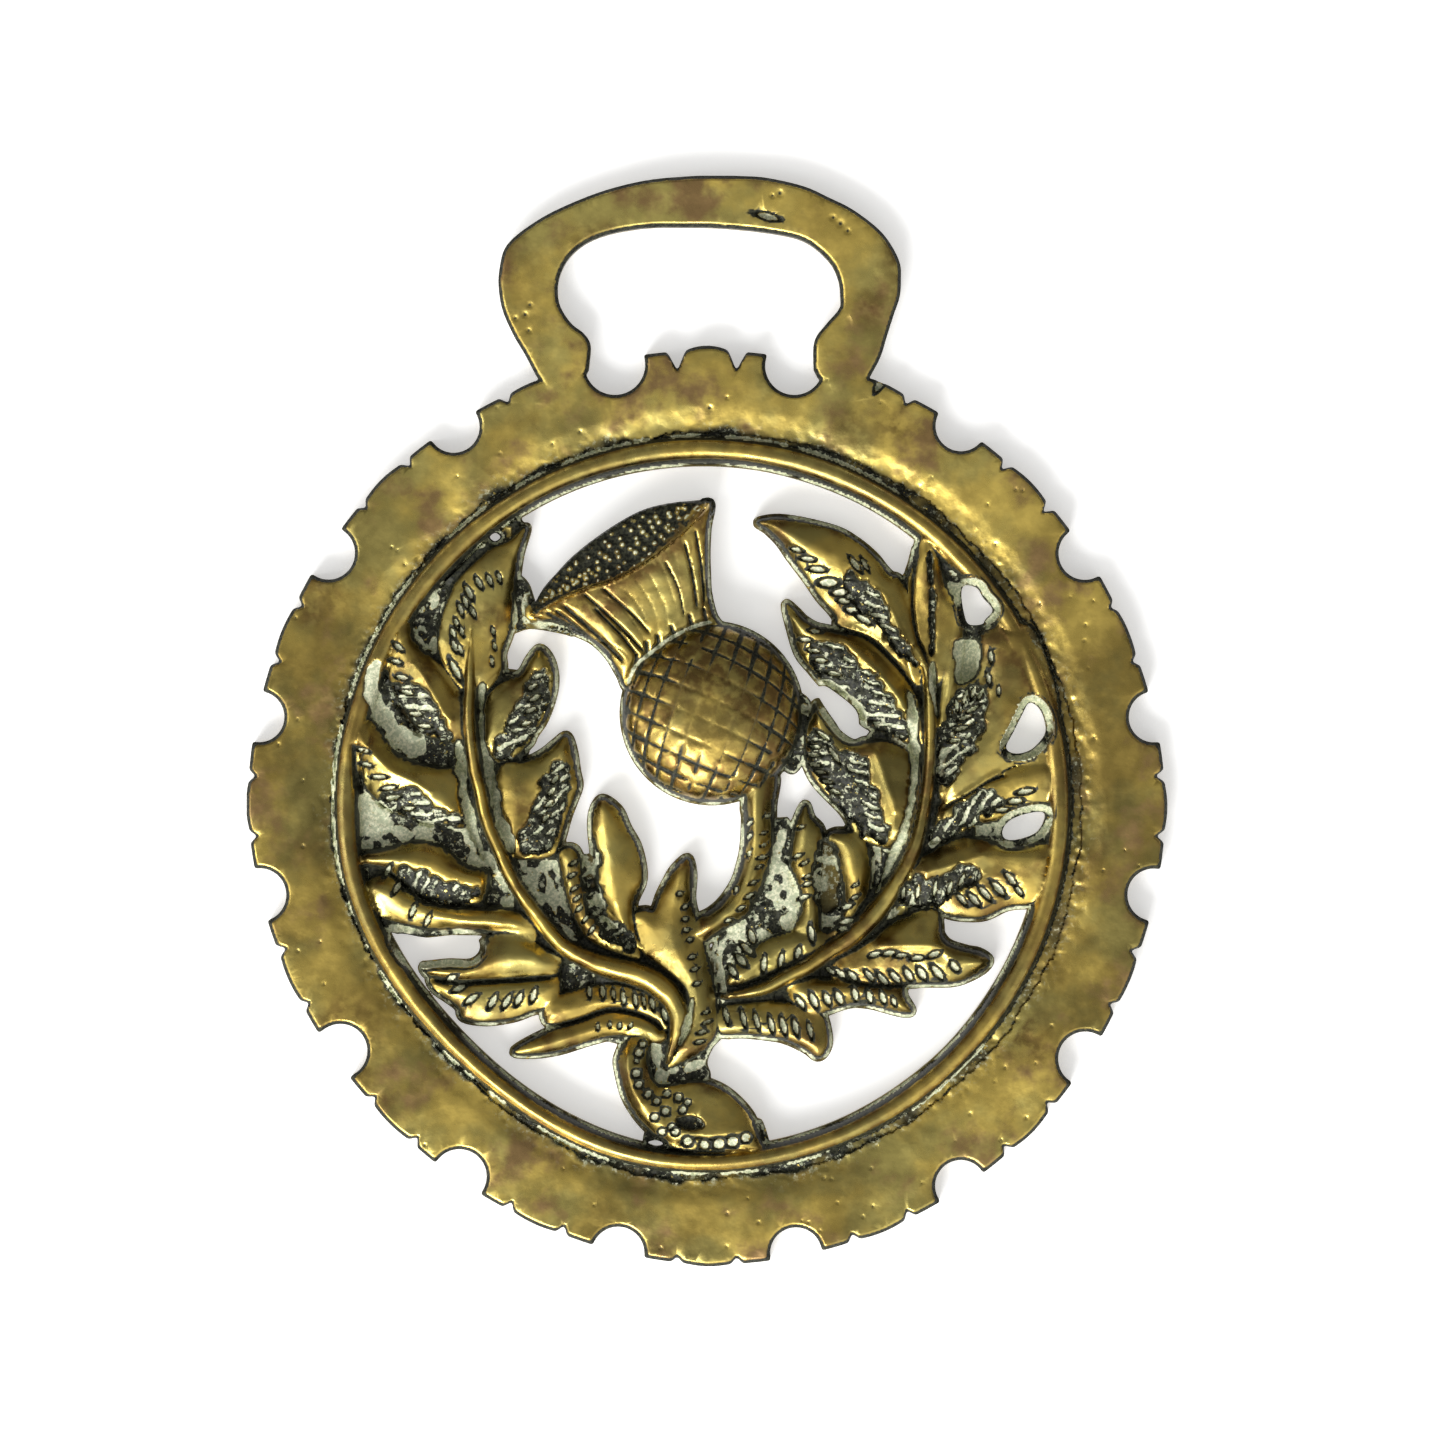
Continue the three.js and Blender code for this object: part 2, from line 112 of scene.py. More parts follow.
def noise(size, seed):
    """Smooth noise in -1..1 with bumps about size mm across."""
    made = np.random.default_rng(seed)
    columns = int((x_axis[-1] - x_axis[0]) / size) + 3
    rows = int((y_axis[-1] - y_axis[0]) / size) + 3
    grid = made.uniform(-1, 1, (rows, columns))
    gx = (x_axis - x_axis[0]) / size
    gy = (y_axis - y_axis[0]) / size
    i, j = gx.astype(int), gy.astype(int)
    fx, fy = smooth(gx - i), smooth(gy - j)[:, None]
    upper = grid[np.ix_(j, i)] * (1 - fx) + grid[np.ix_(j, i + 1)] * fx
    lower = grid[np.ix_(j + 1, i)] * (1 - fx) + grid[np.ix_(j + 1, i + 1)] * fx
    return upper * (1 - fy) + lower * fy


def blur(field, size, times=3):
    """The field averaged over a square about size mm wide, several times."""
    half = max(1, int(round(size / STEP / 2)))
    for _ in range(times):
        for axis in (0, 1):
            pad = [(0, 0), (0, 0)]
            pad[axis] = (half + 1, half)
            total = np.cumsum(np.pad(field, pad, mode="edge"), axis=axis)
            if axis == 0:
                field = (total[2 * half + 1:] - total[:-2 * half - 1]) / (2 * half + 1)
            else:
                field = (total[:, 2 * half + 1:] - total[:, :-2 * half - 1]) / (2 * half + 1)
    return field


def spline(points, closed=True, steps=5):
    """A smooth curve through the points, with some steps between each two of them."""
    p = np.array(points, float)
    n = len(p)
    made = []
    for i in range(n if closed else n - 1):
        if closed:
            a, b, c, d = p[i - 1], p[i], p[(i + 1) % n], p[(i + 2) % n]
        else:
            a, b, c, d = p[max(i - 1, 0)], p[i], p[i + 1], p[min(i + 2, n - 1)]
        for s in range(steps):
            t = s / steps
            made.append(0.5 * (2 * b + (c - a) * t + (2 * a - 5 * b + 4 * c - d) * t * t
                               + (3 * b - a - 3 * c + d) * t ** 3))
    if not closed:
        made.append(p[-1])
    return np.array(made)


def window(points, margin):
    """The part of the grid round some points."""
    p = np.asarray(points, float)
    i0, i1 = np.searchsorted(x_axis, [p[:, 0].min() - margin, p[:, 0].max() + margin])
    j0, j1 = np.searchsorted(y_axis, [p[:, 1].min() - margin, p[:, 1].max() + margin])
    return np.s_[j0:j1 + 1, i0:i1 + 1]


def turned_axes(w, x0, y0, degrees):
    """Distances from a point, along a direction and across it."""
    a = math.radians(degrees)
    dx, dy = X[w] - x0, Y[w] - y0
    return dx * math.cos(a) + dy * math.sin(a), -dx * math.sin(a) + dy * math.cos(a)


def to_line(points, x, y, closed=False):
    """Distance to a line of points, and how far along it the nearest place is, 0 to 1."""
    p = np.asarray(points, float)
    ends = np.roll(p, -1, 0) if closed else p[1:]
    best = np.full(x.shape, 1e9)
    along = np.zeros(x.shape)
    count = len(ends)
    for i in range(count):
        ax, ay = p[i]
        dx, dy = ends[i] - p[i]
        t = np.clip(((x - ax) * dx + (y - ay) * dy) / max(dx * dx + dy * dy, 1e-9), 0, 1)
        d = (x - ax - t * dx) ** 2 + (y - ay - t * dy) ** 2
        near = d < best
        best = np.where(near, d, best)
        along = np.where(near, (i + t) / count, along)
    return np.sqrt(best), along


def inner(points, x, y):
    """Signed distance to a closed outline, positive inside."""
    d, _ = to_line(points, x, y, True)
    p = np.asarray(points, float)
    within = np.zeros(x.shape, bool)
    for (ax, ay), (bx, by) in zip(p, np.roll(p, -1, 0)):
        if ay != by:
            crosses = (ay > y) != (by > y)
            within ^= crosses & (x < (bx - ax) * (y - ay) / (by - ay) + ax)
    return np.where(within, d, -d)


# Two noises that fray edges and break up patches
RAGGED = noise(0.9, 91) + 0.6 * noise(0.45, 92)
PATCHY = noise(1.7, 95) + 0.5 * noise(0.6, 96)

height = np.full(X.shape, FLASH)
shape = np.full(X.shape, -5.0)      # positive inside the plan
pale = np.zeros(X.shape)            # pale residue
dirt_and_shade = np.zeros(X.shape)           # black dirt, and painted shade in the creases between lobes
gravel = np.zeros(X.shape)          # rough sunk ground
patina_and_shade = np.zeros(X.shape)           # dark patina, and painted shade on slopes and on the bulb
by_hole = np.zeros(X.shape)         # margins of the small holes


def mark(field, w, amount):
    """Raises a field to an amount where it is lower."""
    field[w] = np.maximum(field[w], amount)


def put(w, top, plan):
    """Adds a form to the heights and to the plan."""
    mark(height, w, np.where(plan > -SKIRT, top, 0))
    mark(shape, w, plan)


def walled(d, top, edge):
    """A top inside an outline, with a steep wall down to the flash outside it."""
    fall = edge - (edge - FLASH) * smooth(-d / 0.2)
    return np.where(d > 0, top, fall)


def leaf(outline, ridge, edge, crest, shoulder=0.55):
    """A lobe: a roof from its outline up to its ridge line, with a rounded shoulder."""
    margin = 0.42
    points = spline(outline)
    w = window(points, margin + 0.7)
    x, y = X[w], Y[w]
    d = inner(points, x, y)
    deep = np.clip(d, 0, None)
    rise = shoulder * (1 - np.exp(-deep / 0.45))
    far, _ = to_line(spline(ridge, False, 3), x, y)
    roof = blur(deep / (deep + np.sqrt(far ** 2 + 0.12) - 0.25), 0.4, 2)
    top = edge + rise * 0.6 + (crest - edge - 0.6 * shoulder) * roof ** 0.9
    put(w, walled(d, top, edge), d + margin)


def bar(line, widths, edge, crest):
    """A round-topped rib along a line. widths are half widths, from start to end."""
    margin = 0.3
    path = spline(line, False, 6)
    w = window(path, max(widths) + margin + 0.8)
    far, along = to_line(path, X[w], Y[w])
    half = np.interp(along, np.linspace(0, 1, len(widths)), widths)
    d = half - far
    round_top = np.clip(1 - (far / np.maximum(half, 0.05)) ** 2, 0, 1) ** 0.5
    full = edge + (crest - edge) * (0.35 + 0.65 * smooth(half / max(widths)))
    top = edge + (full - edge) * round_top
    put(w, walled(d, top, edge), d + margin)


def sink(outline, depth, fill, soft=0.25, hatch=None):
    """A sunk patch with a rough or pale floor. hatch is the direction of its comb marks."""
    points = spline(outline)
    w = window(points, 0.9)
    d = inner(points, X[w], Y[w]) + 0.16 * RAGGED[w]
    if hatch is not None:
        d = d + 0.3 + 0.2 * RAGGED[w]
        _, across = turned_axes(w, 0, 0, hatch)
        rows = across / 0.8 + 0.35 * PATCHY[w]
        teeth = smooth((0.55 - np.abs(rows % 1 - 0.5) * 2) / 0.25)
        comb = teeth * smooth((d - 0.1) / 0.25) * smooth((PATCHY[w] + 0.45) / 0.4)
        height[w] -= 0.18 * comb
        mark(pale, w, 0.8 * comb)
    amount = smooth(d / soft + 0.3)
    height[w] -= depth * amount
    mark(dirt_and_shade, w, np.exp(-((d - 0.05) / 0.13) ** 2) * (0.5 if fill == "gravel" else 0.9))
    if fill == "gravel":
        mark(gravel, w, amount)
    else:
        mark(pale, w, smooth((d + 0.02) / 0.15))


def stroke(x0, y0, angle, length, width, depth=0.42):
    """A lens-shaped pit with a dark rim and a pale floor."""
    w = window([(x0, y0)], length / 2 + 0.6)
    u, v = turned_axes(w, x0, y0, angle)
    q = (np.abs(u) / (length * 0.6)) ** 1.7 + (np.abs(v) / (width * 0.62)) ** 1.7
    height[w] -= depth * smooth((1.25 - q) / 0.8)
    mark(dirt_and_shade, w, smooth((1.75 - q) / 0.5) * smooth((q - 0.25) / 0.5))
    pale[w] = np.where(q < 1.4, 0.0, pale[w])
    mark(pale, w, smooth((0.72 - q) / 0.4))
    gravel[w] *= smooth((q - 0.9) / 0.4)


def crease(line, width, depth, dark=1.0, light=0.0):
    """A fine groove along a line."""
    path = spline(line, False, 4)
    w = window(path, width + 0.5)
    far, along = to_line(path, X[w], Y[w])
    ends = smooth(np.minimum(along, 1 - along) / 0.12 + 0.25)
    near = np.exp(-(far / (width * 0.6)) ** 2) * ends
    height[w] -= depth * near
    mark(dirt_and_shade, w, dark * near)
    mark(pale, w, light * smooth((width * 0.45 - far) / (width * 0.3)) * ends)


def crest_line(line):
    """A fine raised line, which catches the light."""
    width, up = 0.28, 0.18
    path = spline(line, False, 4)
    w = window(path, width * 3)
    far, along = to_line(path, X[w], Y[w])
    ends = smooth(np.minimum(along, 1 - along) / 0.12 + 0.2)
    height[w] += up * np.exp(-(far / width) ** 2) * ends


def pierce(outline, margin):
    """A hole right through, with a low pale margin and a dark line round it."""
    points = spline(outline)
    w = window(points, 1.2)
    d = inner(points, X[w], Y[w])
    shape[w] = np.minimum(shape[w], -d)
    low_margin = FLASH + 0.1 + (1 - smooth((d + margin) / 0.25)) * 9
    height[w] = np.minimum(height[w], low_margin)
    mark(by_hole, w, smooth((d + margin + 0.2) / 0.12))
    mark(pale, w, smooth((d + margin - 0.03) / 0.15) * (0.3 + 0.7 * smooth(PATCHY[w] + 0.9)))
    mark(dirt_and_shade, w, np.exp(-((d + margin + 0.05) / 0.12) ** 2))


def pit(x0, y0, size, depth, margin):
    """A small round pit with dirt in it."""
    w = window([(x0, y0)], margin)
    inside = np.exp(-((X[w] - x0) ** 2 + (Y[w] - y0) ** 2) / size ** 2)
    height[w] -= depth * inside
    mark(dirt_and_shade, w, 0.8 * inside)


def edge_fall(d, width):
    """How far the top of the plate falls towards its edge."""
    return 0.4 * (1 - smooth(d / width)) ** 1.4


# Ring
def round_the_ring(table):
    """Values given at some turns, in degrees, for every place on the grid."""
    turns = [t for t, _ in table]
    values = [v for _, v in table]
    return np.interp(TURN, turns + [turns[0] + 360], values + [values[0]])


# Round this turn, in degrees, the bead and the groove are drawn in by up to 1 mm
PULL_TURN, PULL_SPAN = 226, 40
turned = ((TURN - PULL_TURN + 540) % 360) - 180
pull = np.cos(np.clip(np.abs(turned) / PULL_SPAN, 0, 1) * math.pi / 2) ** 2

tooth_radius = round_the_ring([
    (0, 37.9), (22, 37.55), (45, 37.7), (70, 37.7), (90, 37.6), (110, 37.7), (135, 37.95),
    (157, 37.85), (180, 37.95), (202, 37.3), (225, 36.95), (247, 37.2), (270, 37.9),
    (292, 37.95), (315, 37.95), (337, 37.65),
])
BITES = 16
PITCH = 22.5
near_tooth = (np.round(TURN / PITCH) * PITCH) % 360
arc = np.radians(((TURN - near_tooth + 180) % 360) - 180) * RING
under_loop = np.abs(near_tooth - 90) < 1
nick_depth = np.where(under_loop, 1.6, 0.65 + 0.25 * noise(9, 3))
nick_at = 2.5 + 0.12 * noise(8, 4)
nick_half = np.where(under_loop, 0.75, 0.5)
nick = nick_depth * np.clip(1 - np.abs(np.abs(arc) - nick_at) / nick_half, 0, 1)
crown = 0.14 * np.clip(1 - (arc / 1.9) ** 2, 0, 1)
outer = tooth_radius - nick + crown * np.where(under_loop, 3, 1) - 0.05 - R

# Bites beside the loop, as turn: x, y, radius, and deep bites, as turn: centre's radius
LOOP_BITES = {78.75: (7.2, 36.3, 2.4), 101.25: (-7.6, 36.4, 2.5)}
DEEP_BITES = {213.75: 36.35, 236.25: 36.75}
rng = np.random.default_rng(11)
for k in range(BITES):
    turn = PITCH / 2 + PITCH * k
    radius = 2.15 + rng.uniform(-0.08, 0.1)
    at = DEEP_BITES.get(turn, 37.6 + rng.uniform(-0.12, 0.12))
    cx, cy = at * math.cos(math.radians(turn)), at * math.sin(math.radians(turn))
    if turn in LOOP_BITES:
        cx, cy, radius = LOOP_BITES[turn]
    outer = np.minimum(outer, np.hypot(X - cx, Y - cy) - radius)
    if turn in DEEP_BITES:
        ux, uy = cx / at, cy / at
        beyond = (X - cx) * ux + (Y - cy) * uy
        across = np.abs(-(X - cx) * uy + (Y - cy) * ux)
        outer = np.minimum(outer, np.where(beyond > 0, across - radius, outer))
outer = blur(outer, 0.26, 1)

# The opening, the bead round it and the groove outside the bead
bead_middle = np.hypot(X + OPENING_LEFT, Y) + pull
bead_half = 1.02 + 0.08 * np.sin(np.radians(TURN)) + 0.06 * noise(7, 5)
groove_outer = GROOVE_RADIUS - pull + 0.12 * noise(4, 6) + 0.16 * noise(0.8, 7) + 0.1 * noise(0.4, 8)
inner_edge = bead_middle - (BEAD_RADIUS - bead_half)
put(np.s_[:, :], np.full(X.shape, GROOVE_FLOOR), np.minimum(outer, inner_edge + 0.25))

wear = 0.09 * noise(6, 21) + 0.05 * noise(3.2, 22) + 0.018 * noise(1.3, 23)
across_rim = (R + pull - 34.7) / 3.2
rim_top = PLATE - 0.06 * across_rim ** 2 - edge_fall(outer, 0.42) + wear
past_groove = R > groove_outer
rim = np.where(past_groove, rim_top, 0)
bank = smooth((R - groove_outer) / BANK_WIDTH)
rim = rim * bank + (GROOVE_FLOOR + 0.3) * (1 - bank) * past_groove
height = np.where((outer > -SKIRT) & past_groove, np.maximum(rim, 1.2), height)

across_bead = (bead_middle - BEAD_RADIUS) / bead_half
bead_top = BEAD + 0.06 * noise(5, 24) + 0.02 * noise(1.2, 25)
bead = GROOVE_FLOOR + (bead_top - GROOVE_FLOOR) * np.sqrt(np.clip(1 - across_bead ** 2, 0, 1))
on_bead = np.abs(across_bead) < 1
height = np.where(on_bead, np.maximum(height, bead), height)
height = np.where((inner_edge < 0) & (inner_edge > -0.9), FLASH, height)

in_groove = (R < groove_outer + BANK_WIDTH) & (across_bead > 0.9)
dirt_reach = 1.7 + 0.8 * noise(3, 9)
gravel = np.where(in_groove, 1 - smooth((R - groove_outer + 0.3) / dirt_reach), gravel)
from_left = np.abs(TURN - 190)
lined = smooth((noise(2.6, 97) + 0.5 * RAGGED + 0.25) / 0.3) * smooth((150 - from_left) / 30)
pale = np.where(in_groove & (across_bead < 1.2), lined, pale)

# Strap loop
LOOP = [
    (-12.6, 32.6), (-13.4, 34.4), (-14.1, 35.5), (-15, 37.2), (-16, 38.9), (-16.9, 41), (-17.2, 43),
    (-17.1, 44.4), (-16.8, 45.7), (-16.2, 46.6), (-15, 47.6), (-13.1, 48.8), (-10.5, 50),
    (-8, 50.9), (-5, 51.6), (-2, 51.9), (0.5, 52), (3, 51.95), (5, 51.8), (8, 51.1), (10, 50.2),
    (12, 49.2), (14, 47.7), (15.1, 46.4), (15.9, 44.8), (16, 43.5), (15.9, 42), (15.4, 40.5),
    (14.8, 38.6), (14.3, 37), (13.4, 35.3), (12.2, 33),
]
SLOT = [
    (-9.8, 33), (-9.75, 36), (-9.6, 38), (-10.2, 39), (-11.1, 39.7), (-11.9, 40.8), (-12.3, 42),
    (-12.2, 43.6), (-11.4, 45.2), (-10, 46.4), (-8, 47.2), (-5, 47.7), (-2, 47.75), (1, 47.7),
    (5, 47.3), (8, 46.6), (10, 45), (10.8, 43.5), (11, 42), (10.9, 41), (9.8, 39.7), (8.85, 38.3),
    (8.8, 36), (8.8, 33),
]
loop_d = inner(spline(LOOP), X, Y)
slot_d = inner(spline(SLOT), X, Y)
loop = np.minimum(loop_d, -slot_d)
loop_top = PLATE - edge_fall(loop, 0.45) + wear * 0.8 + 0.05 * noise(1.6, 31)
height = np.where((loop > -SKIRT) & (Y > 31.8), np.maximum(height, loop_top), height)
shape = np.maximum(shape, np.where(Y > 32, loop, -5))


# Webs
def web(outline, curved=True):
    """A low thin web between the lobes, rough all over."""
    points = spline(outline) if curved else np.array(outline, float)
    w = window(points, 1.0)
    d = inner(points, X[w], Y[w])
    put(w, np.where(d > -SKIRT, WEB, 0), d)
    mark(gravel, w, smooth(d / 0.3 + 0.2))


def ring_arc(start, end):
    """Points along the bead, from one turn to another in degrees."""
    radius = 29.2
    return [(radius * math.cos(math.radians(a)) - OPENING_LEFT, radius * math.sin(math.radians(a)))
            for a in np.linspace(start, end, 22)]


LEFT_WEB = [
    (-24, -11), (-18.7, -10.4), (-16, -10.6), (-13, -13), (-13.2, -18.2), (-9, -19.3),
    (-3.2, -20.6), (0.2, -19.6), (0.4, -17), (-0.6, -11), (-3.6, -8.8), (-5.6, -9.6), (-6.4, -3),
    (-9, -2), (-9.4, -3.9), (-12, -4.2), (-11.6, 2.6), (-15, 3.4), (-13.4, 8.4), (-15.4, 11.2),
    (-16.9, 11.4), (-16.6, 14), (-15.7, 19), (-14.9, 23), (-15.6, 24.2),
]
RIGHT_WEB = [
    (17.9, 22.4), (16.9, 21.4), (16.4, 19.4), (15.6, 18.4), (11, 14.9), (13.4, 9.4), (13.6, 6.4),
    (12.6, 5), (10, 4.8), (9.4, 1.8), (11.6, -1.2), (11, -2.4), (8.6, -2), (7, -1.4), (6.7, -0.9),
    (5.4, -1), (3, -7.4), (1, -9.4), (0.3, -12), (0.8, -18.9), (9.2, -19.6), (9.6, -16.9),
    (16, -16.2), (16.9, -14.8), (20, -14.2), (19.2, -10.2), (19.6, -8.6), (22, -9.4), (25, -8.4),
    (27, -8),
]
SMALL_WEBS = [
    [(6, 3.4), (7.2, 2.6), (8.3, 4.2), (8.6, 7), (8.6, 8.6), (7.4, 9.2), (6.4, 6)],
    [(-16.6, 14.2), (-14.6, 14.6), (-12, 14.2), (-11, 14), (-10.4, 15), (-13.6, 16), (-14.7, 18.4),
     (-15.7, 19), (-16.4, 17)],
    [(-7.6, -20.4), (-6.6, -18.9), (-4, -18.4), (-1.5, -19.6), (1.3, -18.9), (0.5, -20),
     (0.05, -21.2), (0.3, -22.4), (-1, -23.2), (-4, -23.6), (-6.6, -22)],
    [(-5.2, -27), (-4.4, -26.6), (-2, -27.5), (-2.2, -28.9), (-5, -28.4)],
    [(3.6, -26.4), (4.5, -25.9), (5.2, -27.8), (5.4, -28.6), (3.4, -28.6)],
    [(1.9, -16.2), (0.9, -15.4), (0.8, -17.6), (1.4, -19)],
]
web(ring_arc(129, 200) + LEFT_WEB, curved=False)
web(ring_arc(-16, 49) + RIGHT_WEB, curved=False)
for outline in SMALL_WEBS:
    web(outline)

